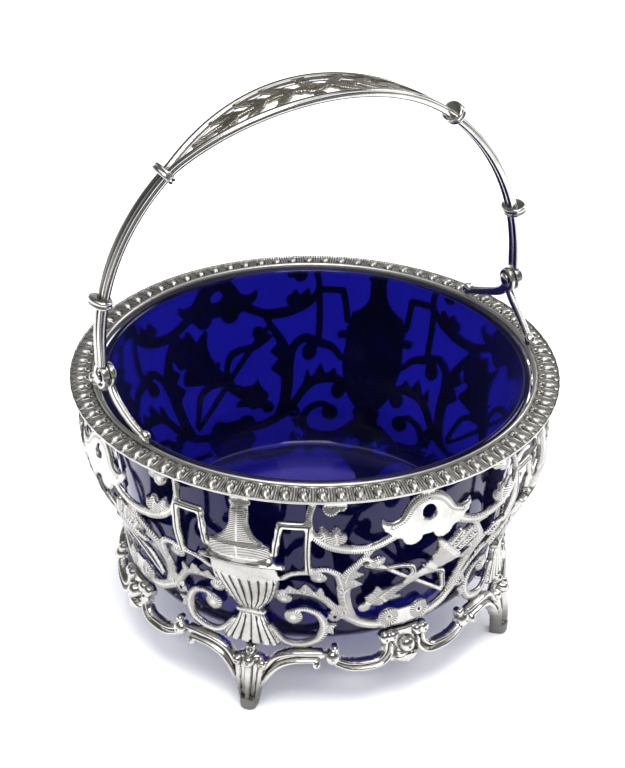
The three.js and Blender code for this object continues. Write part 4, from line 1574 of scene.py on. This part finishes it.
@dataclass
class Gallery:
    """The cast legs and swags under the body.

    Attributes:
        count: legs, and swags, round the basket.
        back: the castings' thickness without their relief.
        step: degrees and millimetres from one grid line to the next.
        bevel: how far their front is rounded down at the edge.
        back_bevel: the same on the back.
        toe_lean: how far the toes lean in.
        ankle: the height where they start to.
    """

    count: int = 4
    back: float = 1.5
    step: Pair = (0.3, 0.28)
    bevel: float = 0.35
    back_bevel: float = 0.3
    toe_lean: float = 2.2
    ankle: float = 10.0

    def bend(self, places: Array, out: Array) -> Array:
        """Bends a casting round the basket, its toes leaning in below the ankle."""
        lean = self.toe_lean * np.clip(1 - places[:, 1] / self.ankle, 0, 1) ** 1.5
        return SURFACE.bend(places, out - lean)

    def leg(self) -> list[Shape]:
        """A leafy foot between two crescent arms, about its middle.

        Returns:
            The shapes, the lowest first.
        """
        ridges = [([(4.2, 13.4), (7.2, 17), (11, 18.6), (16, 19.1), (20.3, 19.0)], [1.9, 1.7, 1.6, 1.5]),
                  ([(3.6, 8.2), (6.1, 12.2), (9.2, 15.0), (13.5, 16.4), (19.0, 16.6)], [1.9, 1.8, 1.6, 1.3])]
        shaft = [(2.2, -0.2), (2.5, 1.4), (3.0, 4), (3.8, 8), (4.4, 11), (5.0, 14), (4.4, 16), (2.2, 17.2)]
        return [
            band([(4.2, 11), (7, 14.8), (10.4, 16.8), (15, 17.8), (20.4, 17.9)], [3.8, 3.6, 3.2, 2.8, 2.2],
                 both=True),
            *(band(line, widths, both=True, **raised(0.35, 1.0)) for line, widths in ridges),
            disc((18.9, 15.6), 1.35, both=True, **raised(0.5, 1.3)),
            vase(shaft, low=0.0, **raised(0.2, 1.2)),
            band([(2.1, 3.2), (2.7, 8), (3.4, 13.6)], [1.1, 1.5, 1.9], both=True, **raised(0.8, 1.2)),
            band([(0, 3.6), (0, 9), (0, 14.5)], [1.5, 2.1, 2.3], **raised(1.5, 1.5)),
            vase([(2.1, -0.2), (2.5, 1.2), (2.4, 2.6), (1.5, 3.9), (0.2, 4.3)], low=0.0, **raised(1.0, 2.2)),
            vase([(1.5, 16), (1.5, 18), (1.7, 19.9)], **raised(0.3, 1.0)),
            disc((0, 15.6), 1.7, **raised(2.3, 1.5)),
            disc((3.6, 14.9), 1.45, both=True, **raised(1.3, 1.4)),
            disc((0, 18.2), 1.3, **raised(0.9, 1.2)),
        ]

    def swag(self) -> list[Shape]:
        """A shell with a ball between two hollow scrolls, about its middle.

        Returns:
            The shapes, the lowest first.
        """
        ridges = [([(20.4, 17.0), (17, 15.7), (12.5, 15.2), (8.4, 15.6), (6.3, 17.6), (5.8, 20.6)], [1.2]),
                  ([(20.8, 15.6), (17, 13.9), (12.5, 13.3), (7.4, 13.8), (4.6, 16.2), (4.2, 19.0)], [1.4])]
        shell = [(4.4, 13.5), (4.1, 15), (2.4, 16.5), (3.0, 18.4), (4.0, 20.4), (5.3, 22.2), (4.2, 23.5)]
        return [
            band([(20.6, 16.4), (17, 14.8), (12.5, 14.3), (7.9, 14.8), (5.5, 17), (5.0, 19.6)],
                 [2.4, 2.6, 2.6, 2.4], both=True),
            *(band(line, widths, both=True, **raised(0.3, 1.1)) for line, widths in ridges),
            disc((20.9, 20.0), 1.2, both=True, **raised(0.3, 1.0)),
            disc((21.6, 17.6), 2.1, both=True, **raised(0.4, 1.9)),
            disc((6.1, 21.6), 1.9, both=True, **raised(0.3, 1.6)),
            vase(shell, **raised(0.0, 0.7)),
            vase([(0.2, 13.4), (2.8, 14.0), (3.7, 14.9), (2.8, 15.8), (0.2, 16.4)], **raised(0.8, 1.6)),
            disc((0, 18.9), 2.3, **raised(1.3, 2.3)),
            disc((3.9, 22.0), 1.7, both=True, **raised(0.7, 1.5)),
        ]

    def build(self, shop: Workshop) -> None:
        """Casts one leg and one swag and sets them round the basket.

        Args:
            shop: makes the pieces.
        """
        # The drawings, their lowest and highest places in degrees and millimetres, and the first copy's turn.
        for label, shapes, low, high, start in (
            ("leg", self.leg(), (-22.0, -0.6), (22.0, 21.0), 180 / self.count),
            ("swag", self.swag(), (-25.0, 11.5), (25.0, 24.6), 0.0),
        ):
            drawing = Drawing([(0.0, s) for s in shapes], [], SURFACE.flatten)
            casting = Sheet(drawing, low, high, self.step, self.bend, self.back, self.bevel, self.back_bevel)
            mesh = shop.ring(casting.build(label), self.count, start, CAST_SILVER)
            mesh.set_sharp_from_angle(angle=math.radians(CASTING_SHARP))
            nodes = [f"gallery_{label}_{i + 1}" for i in range(self.count)]
            shop.place(f"gallery_{label}s_cast", mesh, CAST_SILVER, "basket", nodes)


# Liner


@dataclass
class GlassLiner:
    """The loose cobalt glass bowl.

    Attributes:
        base: outer radius of the flat bottom.
        low: height of the bottom, a little over the ledges.
        high: height of the lip.
        lip: outer radius of the lip.
        wall: the wall's thickness.
        floor: the floor's thickness.
        corner: how far the outer corner is rounded.
        cove: how far the slope between wall and floor reaches in, and up.
        crease: how far its foot is rounded.
        segments: faces round the bowl.
        wall_steps: faces up the wall.
        cove_steps: faces up the slope.
    """

    base: float = 49.2
    low: float = 20.35
    high: float = 77.35
    lip: float = 60.5
    wall: float = 2.2
    floor: float = 3.8
    corner: float = 2.2
    cove: Pair = (6.0, 12.0)
    crease: float = 1.4
    segments: int = 192
    wall_steps: int = 14
    cove_steps: int = 10

    def wall_radius(self, z: float) -> float:
        """The outer radius of the wall at a height."""
        low, high = self.low + self.corner, self.high - self.wall / 2
        return self.base + self.corner + (self.lip - self.base - self.corner) * (z - low) / (high - low)

    def section(self) -> list[Pair]:
        """The bowl's section, from the axis underneath, over the lip, to the axis inside.

        Returns:
            Radius and height of each point.
        """
        points: list[Pair] = [(0, self.low), (self.base - 4, self.low), (self.base, self.low + 0.05)]
        for turn in np.radians([20, 45, 70]):
            points.append((self.base + self.corner * math.sin(turn),
                           self.low + self.corner * (1 - math.cos(turn))))
        for z in np.linspace(self.low + self.corner, self.high - self.wall / 2, self.wall_steps):
            points.append((self.wall_radius(z), z))
        half = self.wall / 2
        for turn in np.radians(np.arange(20, 180, 20)):
            points.append((self.lip - half + half * math.cos(turn), self.high - half + half * math.sin(turn)))
        floor = self.low + self.floor
        width, rise = self.cove
        inside = floor + self.crease / 2 + rise
        for z in np.linspace(self.high - half, inside, self.wall_steps):
            points.append((self.wall_radius(z) - self.wall, z))
        foot = self.wall_radius(inside) - self.wall
        for t in np.linspace(0.1, 1, self.cove_steps):
            points.append((foot - width * t**1.5, inside - rise * t))
        rounding = ((0.2, 0.33), (0.45, 0.18), (0.8, 0.05), (1.3, 0.0))
        points += [(foot - width - self.crease * x, floor + self.crease * z) for x, z in rounding]
        points += [(foot / 2, floor), (0, floor)]
        return points

    def build(self, shop: Workshop) -> None:
        """Blows the bowl."""
        mesh = lathe("liner", self.section(), self.segments)
        shop.place("liner_cobalt_bowl", mesh, LINER_GLASS, "liner", ["glass_liner"])


# Hinge


@dataclass
class Hinge:
    """The forked brackets on the rim, the pins and the little ledges inside the urns.

    Attributes:
        height: of the hinge over the table.
        bracket_radius: from the basket's axis to the bracket's middle.
        bracket_thickness: without its relief.
        ear: radius of the round at its top.
        bore: radius of the hole in it.
        spread: degrees from the hinge to each foot.
        seat: from the hinge down to the rim.
        foot_rise: from the rim to the end of each leg, and to the middle of its round.
        foot_curl: radius of the round at each foot.
        step: from one grid line to the next.
        pin_radius: of the pin.
        pin_head: radius of its heads.
        pin_span: where its heads start, from the basket's axis.
        head_thickness: how far they are domed.
        ledges: how many ledges there are.
        ledge_rounding: how far their edges are rounded.
    """

    height: float = 91.0
    bracket_radius: float = 62.3
    bracket_thickness: float = 1.1
    ear: float = 3.4
    bore: float = 1.4
    spread: float = 15.5
    seat: float = 12.7
    foot_rise: Pair = (1.5, 1.7)
    foot_curl: float = 1.8
    step: float = 0.27
    pin_radius: float = 1.1
    pin_head: float = 1.9
    pin_span: Pair = (61.2, 65.85)
    head_thickness: float = 0.75
    ledges: int = 4
    ledge_rounding: float = 0.25

    def at(self, angle: float, below: float) -> Pair:
        """A point of the bracket's drawing from its angle off the hinge and its depth below it."""
        return math.radians(angle) * self.bracket_radius, self.height - below

    def bracket(self) -> Mesh:
        """The fork with its eared top, at +X.

        Returns:
            The mesh, in place.
        """
        end, curl = self.foot_rise
        leg = smooth_path([self.at(0, 2), self.at(self.spread * 0.2, self.seat * 0.42),
                           self.at(self.spread * 0.6, self.seat * 0.68),
                           self.at(self.spread, self.seat - end)])
        hinge = np.array([self.at(0, 0)])
        foot = np.array([self.at(self.spread + 0.6, self.seat - curl)])
        shapes: list[Shape] = [
            Band(outline=leg, widths=[3.0, 2.8, 2.4, 2.3], form=Form.ROUND, rise=0.28, both=True),
            Disc(outline=foot, radius=self.foot_curl, form=Form.ROUND, rise=0.9, both=True),
            Disc(outline=hinge, radius=self.ear, form=Form.DISHED, rise=0.3),
        ]
        bore = Disc(outline=hinge, radius=self.bore)
        drawing = Drawing([(0.0, s) for s in shapes], [(0.0, bore)])

        def bend(places: Array, out: Array) -> Array:
            """Bends the flat fork on its radius.

            Args:
                places: points of the drawing.
                out: how far each stands out.

            Returns:
                The points in space.
            """
            turn = places[:, 0] / self.bracket_radius
            radius = self.bracket_radius + out
            return np.column_stack([radius * np.cos(turn), radius * np.sin(turn), places[:, 1]])

        sheet = Sheet(drawing, (-20.5, self.height - 13.5), (20.5, self.height + 4.5), (self.step, self.step),
                      bend, self.bracket_thickness, 0.2, 0.2, both_faces=True)
        return sheet.build("bracket")

    def pin(self) -> Mesh:
        """A riveted pin along +X with two domed heads.

        Returns:
            The mesh, in place.
        """
        inner, outer = self.pin_span
        head, radius, thick = self.pin_head, self.pin_radius, self.head_thickness
        dome = [(head * math.sin(t), thick * math.cos(t)) for t in np.radians([20, 40, 60, 80, 90])]
        section = [(0, inner - thick)] + [(r, inner - z) for r, z in dome] + [(radius, inner)]
        section += [(radius, outer)] + [(r, outer + z) for r, z in dome[::-1]] + [(0, outer + thick)]
        mesh = lathe("pin", section, 32)
        mesh.transform(Matrix.Rotation(math.radians(90), 4, "Y"))
        mesh.transform(Matrix.Translation((0, 0, self.height * MM)))
        return mesh

    def ledge(self, node: str) -> Mesh:
        """A ledge with its edges rounded over.

        Args:
            node: the CAD node that it follows.

        Returns:
            The mesh, in place.
        """
        work = bmesh.new()
        work.from_mesh(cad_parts[node].data)
        bmesh.ops.remove_doubles(work, verts=work.verts, dist=1e-6)
        bmesh.ops.dissolve_limit(work, angle_limit=0.01, verts=work.verts, edges=work.edges)
        bmesh.ops.bevel(work, geom=work.edges[:], offset=self.ledge_rounding * MM, segments=3, affect="EDGES",
                        profile=0.5)
        mesh = bpy.data.meshes.new(node)
        work.to_mesh(mesh)
        work.free()
        return face_out(mesh)

    def build(self, shop: Workshop) -> None:
        """Sets a bracket and a pin on each side, and four ledges.

        Args:
            shop: makes the pieces.
        """
        bracket, pin = self.bracket(), self.pin()
        for side, sign in SIDES:
            lug, rivet = turned(bracket, to_side(sign)), turned(pin, to_side(sign))
            shop.place(f"bracket_{side}_cast", lug, CAST_SILVER, "basket", [f"bracket_{side}"])
            shop.place(f"hinge_pin_{side}_riveted", rivet, DRAWN_SILVER, "basket", [f"hinge_pin_{side}"])
        for i in range(self.ledges):
            node = f"liner_ledge_{i + 1}"
            shop.place(f"{node}_rounded", self.ledge(node), CAST_SILVER, "basket", [node])


# Handle


@dataclass
class SwingHandle:
    """The bail of two reeded wires, bound by reels, with a pierced leaf panel at the grip.

    Attributes:
        hinge: height of the hinge.
        lean: degrees that the bail stands back from upright.
        half_span: half the distance between its legs.
        leg_rise: straight part over the hinge.
        arch_rise: from there to the top.
        rail_width: of a wire, across the bail.
        rail_depth: of a wire, along the arch's radius.
        rail_gap: between the wires where they run side by side.
        groove: depth of each cut line, as a share of the wire, where it lies and how wide it is, in degrees.
        grip: between the wires' middles at the top.
        grip_start: degrees round the arch where the wires part.
        eye_radius: of the round at each end.
        eye_inner: from the basket's axis to its inner face.
        eye_outer: the same to its outer face.
        eye_edge: rounding of its inner and outer edge.
        bore: radius of the hole in it.
        reel_angles: places of the reels, in degrees round the arch.
        reel_half: half a reel's size along the arch's radius and across the bail.
        reel_length: along the wires.
        reel_outset: how far a reel's middle lies outside the wires' middle.
        reel_play: between a reel and the wires.
        panel_thickness: without its relief.
        flower: radius of the flower.
        flower_eye: radius of the hole in it.
    """

    hinge: float = 91.0
    lean: float = 3.5
    half_span: float = 64.5
    leg_rise: float = 9.1
    arch_rise: float = 60.7
    rail_width: float = 2.1
    rail_depth: float = 2.4
    rail_gap: float = 0.3
    groove: tuple[float, float, float] = (0.16, 62.0, 9.0)
    grip: float = 15.4
    grip_start: float = 50.0
    eye_radius: float = 3.5
    eye_inner: float = 63.45
    eye_outer: float = 65.55
    eye_edge: Pair = (0.4, 0.45)
    bore: float = 1.4
    reel_angles: Pair = (12.0, 47.7)
    reel_half: Pair = (3.2, 4.4)
    reel_length: float = 2.3
    reel_outset: float = 0.7
    reel_play: float = 0.1
    panel_thickness: float = 1.0
    flower: float = 3.3
    flower_eye: float = 1.2

    def to_basket(self) -> Matrix:
        """From the handle drawn upright on z = 0 to its place on the basket."""
        return Matrix.Translation((0, 0, self.hinge * MM)) @ Matrix.Rotation(math.radians(-self.lean), 4, "X")

    def arch(self, angle: Array) -> tuple[Array, Array, Array]:
        """Middle points of the arch, and the directions out of it and along it.

        Args:
            angle: degrees round the arch.

        Returns:
            The points and the two directions.
        """
        turn = np.radians(angle)
        zero = np.zeros_like(turn)
        centre = np.stack([self.half_span * np.cos(turn), zero,
                           self.leg_rise + self.arch_rise * np.sin(turn)], -1)
        along = np.stack([-self.half_span * np.sin(turn), zero, self.arch_rise * np.cos(turn)], -1)
        along /= np.linalg.norm(along, axis=-1, keepdims=True)
        outward = np.stack([along[..., 2], zero, -along[..., 0]], -1)
        return centre, outward, along

    def rail_offset(self, angle: Array) -> Array:
        """How far each rail's middle lies from the handle's middle plane.

        Args:
            angle: degrees round the arch.

        Returns:
            The distance at each angle.
        """
        together = (self.rail_width + self.rail_gap) / 2
        t = np.clip(np.abs(90 - angle) / (90 - self.grip_start), 0, 1)
        return together + (self.grip / 2 - together) * np.cos(t * math.pi / 2)

    def rail(self, side: float) -> Mesh:
        """One wire, round with two cut lines on its outer face.

        Args:
            side: -1 in front and 1 behind.

        Returns:
            The mesh, with the bail upright.
        """
        angles = np.linspace(0, 180, 121)
        centre, outward, _ = self.arch(angles)
        foot = centre[[0]].copy()
        foot[0, 2] = self.eye_radius + 0.1
        middle = foot * 0.5 + centre[[0]] * 0.5
        other, other_middle = foot * [-1, 1, 1], middle * [-1, 1, 1]
        centre = np.vstack([foot, middle, centre, other_middle, other])
        outward = np.vstack([outward[[0, 0]], outward, outward[[-1, -1]]])
        offset = self.rail_offset(np.concatenate([[0, 0], angles, [180, 180]])) * side
        degrees = np.arange(0, 360, 12)
        deep, place, wide = self.groove
        size = 1 - sum(deep * np.exp(-(((degrees - at) / wide) ** 2)) for at in (place, 360 - place))
        # Points round the wire, a little squarer than an ellipse.
        out, across = (np.sign(v) * np.abs(v) ** 0.75 * size for v in (np.cos(np.radians(degrees)),
                                                                       np.sin(np.radians(degrees))))
        out, across = out * self.rail_depth / 2, across * self.rail_width / 2
        rows = centre[:, None, :] + outward[:, None, :] * out[None, :, None]
        rows[..., 1] += offset[:, None] + across[None, :]
        return loft("rail", rows)

    def reel(self, angle: float, side: float) -> Mesh:
        """An oval reel with two rolled edges round both wires.

        Args:
            angle: its place in degrees round the arch.
            side: 1 on the right and -1 on the left.

        Returns:
            The mesh, with the bail upright.
        """
        centre, outward, along = (v[0] for v in self.arch(np.array([angle])))
        half = self.reel_length / 2
        # The rolled outside, as shares of the reel's size and half length.
        roll = [(0.88, 1), (0.96, 0.85), (1, 0.6), (0.99, 0.3), (0.95, 0.1)]
        roll = [(k, -h) for k, h in roll] + roll[::-1]
        bore_out = self.rail_depth / 2 + self.reel_play
        bore_across = self.rail_width + self.rail_gap / 2 + self.reel_play
        deep, wide = self.reel_half
        rows = []
        for turn in np.linspace(0, 2 * np.pi, 48, endpoint=False):
            loop = [(deep * k * math.cos(turn) + self.reel_outset, wide * k * math.sin(turn), half * h)
                    for k, h in roll]
            loop += [(bore_out * math.cos(turn), bore_across * math.sin(turn), h)
                     for h in (half * 0.9, -half * 0.9)]
            rows.append([centre + outward * out + np.array([0, aside, 0]) + along * h
                         for out, aside, h in loop])
        mesh = loft("reel", np.array(rows), ring=True)
        return turned(mesh, to_side(side))

    def eye(self, side: float) -> Mesh:
        """The dished round at the end of the wires.

        Args:
            side: 1 on the right and -1 on the left.

        Returns:
            The mesh, with the bail upright.
        """
        inner, outer, radius, bore = self.eye_inner, self.eye_outer, self.eye_radius, self.bore
        low, high = self.eye_edge
        section = [(bore, inner + 0.1), (bore + 0.15, inner), (radius - low, inner)]
        section += [(radius - low + low * math.sin(t), inner + low - low * math.cos(t))
                    for t in np.radians([30, 60, 90])]
        section += [(radius - high + high * math.cos(t), outer - high + high * math.sin(t))
                    for t in np.radians([0, 30, 60, 90, 120, 150])]
        # The dish and the rolled edge of the bore.
        section += [(radius - 1.2, outer - 0.75), (bore + 0.8, outer - 0.7), (bore + 0.5, outer - 0.4),
                    (bore + 0.2, outer - 0.3), (bore, outer - 0.45)]
        mesh = lathe("eye", section, 48, closed=True)
        mesh.transform(Matrix.Rotation(math.radians(90), 4, "Y"))
        return turned(mesh, to_side(side))

    def room(self, x: float) -> float:
        """Half the width between the wires at a way along the arch from its top."""
        angle = 90 - math.degrees(x / self.half_span)
        return float(self.rail_offset(np.array([angle]))[0]) - self.rail_width / 2

    def panel(self) -> Mesh:
        """Leaves and a pierced flower between the wires.

        Returns:
            The mesh, with the bail upright.
        """
        def leaf(x: float, reach: float, up: float) -> list[Shape]:
            """A leaf from a place on the spine to the wire above or below, with lobes on both sides.

            Args:
                x: its root's place along the spine.
                reach: how far it runs along.
                up: 1 to the wire above and -1 below.

            Returns:
                The leaf's shapes.
            """
            tip = (x + reach, up * (self.room(x + reach) + 0.3))
            middle = (x + reach * 0.5, up * abs(tip[1]) * 0.55)
            path = smooth_path([(x, 0), middle, tip])
            lobes = [Band(outline=path, widths=[1.4, 2.6, 2.3, 1.3, 0.7], cut=Cut.VEINS, rise=0.25)]
            for t, size in ((0.1, 2.6), (0.35, 2.4), (0.6, 1.8)):
                root = path[int(t * (len(path) - 1))]
                for ahead, aside in ((0.5, 0.95), (1.15, -0.1)):
                    tip = root + [size * ahead, up * size * aside]
                    lobes.append(Plate(outline=np.array([root + [-0.9, 0], tip, root + [1.0, -up * 0.4]]),
                                       cut=Cut.VEINS, rise=0.15))
            return lobes

        end = math.radians(90 - self.grip_start) * self.half_span
        shapes: list[Shape] = [Band(outline=smooth_path([(0, 0), (12, 0.6), (22, -0.4), (end - 8, 0)]),
                                    widths=[2.6, 2.4, 2.0, 1.8, 0.8], cut=Cut.VEINS, rise=0.3,
                                    form=Form.ROUND)]
        for x, reach in ((4.5, 8.0), (12.5, 8.5), (20.5, 9.0)):
            shapes += leaf(x, reach, 1.0) + leaf(x + 1.5, reach, -1.0)
        mirrored = [replace(s, both=True) for s in shapes]
        rayed = {"cut": Cut.RAYS, "form": Form.ROUND}
        middle = np.array([(0.0, 0.0)])
        flower = Disc(outline=middle, radius=self.flower, rise=0.5, **rayed)
        petals = [Disc(outline=np.array([(self.flower, 0.0)]), radius=1.7, rise=0.4, both=True, **rayed)]
        for y in (self.room(0) - 1.2, 1.2 - self.room(0)):
            petals.append(Disc(outline=np.array([(0.0, y)]), radius=1.9, rise=0.4, **rayed))
        eye = Disc(outline=middle, radius=self.flower_eye)
        drawing = Drawing([(0.0, s) for s in mirrored + petals + [flower]], [(0.0, eye)])

        def bend(places: Array, out: Array) -> Array:
            """Bends the flat panel on the arch.

            Args:
                places: points of the drawing.
                out: how far each stands out.

            Returns:
                The points in space.
            """
            centre, outward, _ = self.arch(90 - np.degrees(places[:, 0] / self.half_span))
            result = centre + outward * out[:, None]
            result[:, 1] += places[:, 1]
            return result

        sheet = Sheet(drawing, (-40, -8.5), (40, 8.5), (0.3, 0.3), bend, self.panel_thickness, 0.2, 0.15)
        return sheet.build("panel")

    def build(self, shop: Workshop) -> None:
        """Makes every piece of the bail upright and leans it.

        Args:
            shop: makes the pieces.
        """
        place = self.to_basket()

        def add(name: str, mesh: Mesh, finish: SterlingSilver, node: str) -> None:
            """Leans a piece and places it for its node."""
            mesh.transform(place)
            shop.place(name, mesh, finish, "handle", [node])

        add("rail_front_reeded", self.rail(-1), DRAWN_SILVER, "handle_rail_front")
        add("rail_back_reeded", self.rail(1), DRAWN_SILVER, "handle_rail_back")
        add("grip_panel_pierced", self.panel(), GRIP_SILVER, "handle_panel")
        for side, sign in SIDES:
            add(f"eye_{side}_dished", self.eye(sign), CAST_SILVER, f"handle_eye_{side}")
            for level, angle in zip(("lower", "upper"), self.reel_angles):
                add(f"reel_{side}_{level}", self.reel(angle, sign), CAST_SILVER,
                    f"handle_collar_{side}_{level}")


# Studio


@dataclass(frozen=True)
class SoftBox:
    """A square soft box that looks at the basket.

    Attributes:
        name: the lamp's name.
        place: where it hangs, in metres.
        size: its side, in metres.
        power: in watts.
    """

    name: str
    place: tuple[float, float, float]
    size: float
    power: float


@dataclass
class Studio:
    """A white sweep under soft light, with the camera at the photograph's angle.

    Attributes:
        focal: focal length in pixels of the photograph.
        frame_height: the photograph's height in pixels.
        azimuth: degrees round from -Y.
        elevation: degrees over the table.
        roll: degrees.
        distance: from the target, in millimetres.
        target: what the camera looks at, in millimetres.
        paper: half the paper's width, and how far it reaches behind and in front of the basket's axis.
        room: what metal sees: heights, 0 straight down and 1 straight up, with their brightness and blueness.
        soft: strength of the light all round.
        boxes: the soft boxes.
        aim: the height in metres that they look at.
    """

    focal: float = 2600.0
    frame_height: float = 768.0
    azimuth: float = -27.75
    elevation: float = 30.35
    roll: float = 0.83
    distance: float = 733.0
    target: tuple[float, float, float] = (-0.53, 0.28, 71.9)
    paper: tuple[float, float, float] = (900.0, 1500.0, 215.0)
    room: tuple[tuple[float, float, float], ...] = (
        (0.0, 0.04, 1.125), (0.46, 0.06, 1.02), (0.50, 0.7, 1.02), (0.57, 0.5, 1.02), (0.66, 0.14, 1.02),
        (0.80, 0.05, 1.02), (0.90, 0.14, 1.02), (0.94, 1.4, 1.02), (1.0, 1.6, 1.0))
    soft: float = 1.65
    boxes: tuple[SoftBox, ...] = (SoftBox("key_box", (-0.2, -0.5, 1.25), 0.6, 9.0),
                                  SoftBox("side_box", (0.9, 0.2, 0.7), 0.4, 3.0))
    aim: float = 0.06

    def camera(self) -> None:
        """Puts the camera where the photograph was taken."""
        a, e, r = (math.radians(v) for v in (self.azimuth, self.elevation, self.roll))
        back = Vector((math.sin(a) * math.cos(e), -math.cos(a) * math.cos(e), math.sin(e)))
        right = Vector((math.cos(a), math.sin(a), 0))
        up = back.cross(right)
        right, up = right * math.cos(r) + up * math.sin(r), up * math.cos(r) - right * math.sin(r)
        data = bpy.data.cameras.new("camera")
        data.sensor_width = 36
        data.lens = data.sensor_width * self.focal / self.frame_height
        data.clip_start = 0.05
        data.clip_end = 20
        data.dof.use_dof = False
        camera = bpy.data.objects.new("camera", data)
        turn = Matrix((right, up, back)).transposed()
        place = (Vector(self.target) + back * self.distance) * MM
        camera.matrix_world = Matrix.Translation(place) @ turn.to_4x4()
        bpy.context.scene.collection.objects.link(camera)
        bpy.context.scene.camera = camera

    def floor(self) -> None:
        """A sheet of white paper that keeps the basket's shadow and ends a little in front of it."""
        mesh = bpy.data.meshes.new("floor")
        side, far, near = self.paper
        turn = Matrix.Rotation(math.radians(self.azimuth), 3, "Z")
        corners = [turn @ Vector(p) * MM
                   for p in ((-side, -near, 0), (side, -near, 0), (side, far, 0), (-side, far, 0))]
        mesh.from_pydata([tuple(p) for p in corners], [], [(0, 1, 2, 3)])
        material, tree, shader = new_material("white_paper_sweep")
        # Paper fibre, about 2 mm long, barely seen.
        fibre = noise(tree, add_node(tree, "ShaderNodeTexCoord").outputs["Object"], 2.0, 3.0)
        shade = ramp(tree, fibre, (0.0, 1.0), (0.985, 1.0), smooth=False)
        feed(tree, shader, {"Base Color": mix(tree, shade, BLACK, linear("FAFAFC")), "Roughness": 0.8,
                            "Specular IOR Level": 0.1})
        mesh.materials.append(material)
        floor = bpy.data.objects.new("floor", mesh)
        bpy.context.scene.collection.objects.link(floor)

    def world(self) -> None:
        """Soft light all round; metal sees a dark room and a bright ceiling above the paper."""
        world = bpy.data.worlds.new("studio")
        bpy.context.scene.world = world
        world.use_nodes = True
        tree = world.node_tree
        tree.nodes.clear()
        ray = add_node(tree, "ShaderNodeLightPath")
        place = add_node(tree, "ShaderNodeTexCoord").outputs["Generated"]
        rise = add_node(tree, "ShaderNodeSeparateXYZ", {}, {0: place}).outputs["Z"]
        height = ramp(tree, rise, (-1.0, 1.0), smooth=False)
        shades = add_node(tree, "ShaderNodeValToRGB", {}, {0: height})
        stops = shades.color_ramp.elements
        for stop, (_, level, blue) in zip(stops, (self.room[0], self.room[-1])):
            stop.color = (level, level, level * blue, 1)
        for position, level, blue in self.room[1:-1]:
            stops.new(position).color = (level, level, level * blue, 1)
        seen, white, soft = (
            add_node(tree, "ShaderNodeBackground", {}, {"Color": colour, "Strength": strength}).outputs[0]
            for colour, strength in ((shades.outputs["Color"], 1.0), (WHITE, 1.0),
                                     ((0.96, 0.97, 1.0, 1), self.soft)))
        plain = maths(tree, "MAXIMUM", ray.outputs["Is Camera Ray"], ray.outputs["Is Transmission Ray"])
        lit = add_node(tree, "ShaderNodeMixShader", {}, {0: ray.outputs["Is Glossy Ray"], 1: soft, 2: seen})
        final = add_node(tree, "ShaderNodeMixShader", {}, {0: plain, 1: lit.outputs[0], 2: white})
        add_node(tree, "ShaderNodeOutputWorld", {}, {0: final.outputs[0]})

    def lamp(self, box: SoftBox) -> None:
        """Hangs a soft box and turns it to the basket.

        Args:
            box: the soft box.
        """
        data = bpy.data.lights.new(box.name, "AREA")
        data.size = box.size
        data.energy = box.power
        lamp = bpy.data.objects.new(box.name, data)
        lamp.location = box.place
        aim = Vector((0, 0, self.aim)) - Vector(box.place)
        lamp.rotation_euler = aim.to_track_quat("-Z", "Y").to_euler()
        bpy.context.scene.collection.objects.link(lamp)

    def build(self) -> None:
        """Sets camera, floor and light."""
        self.camera()
        self.floor()
        self.world()
        for box in self.boxes:
            self.lamp(box)
        bpy.context.scene.view_settings.view_transform = "Standard"


def main() -> None:
    """Builds the basket and its studio."""
    logging.basicConfig(level=logging.INFO, format="%(name)s: %(message)s")
    shop = Workshop()
    Studio().build()
    PiercedBody().build(shop)
    RimBorder().build(shop)
    Gallery().build(shop)
    GlassLiner().build(shop)
    Hinge().build(shop)
    SwingHandle().build(shop)


if __name__ == "__main__":
    main()
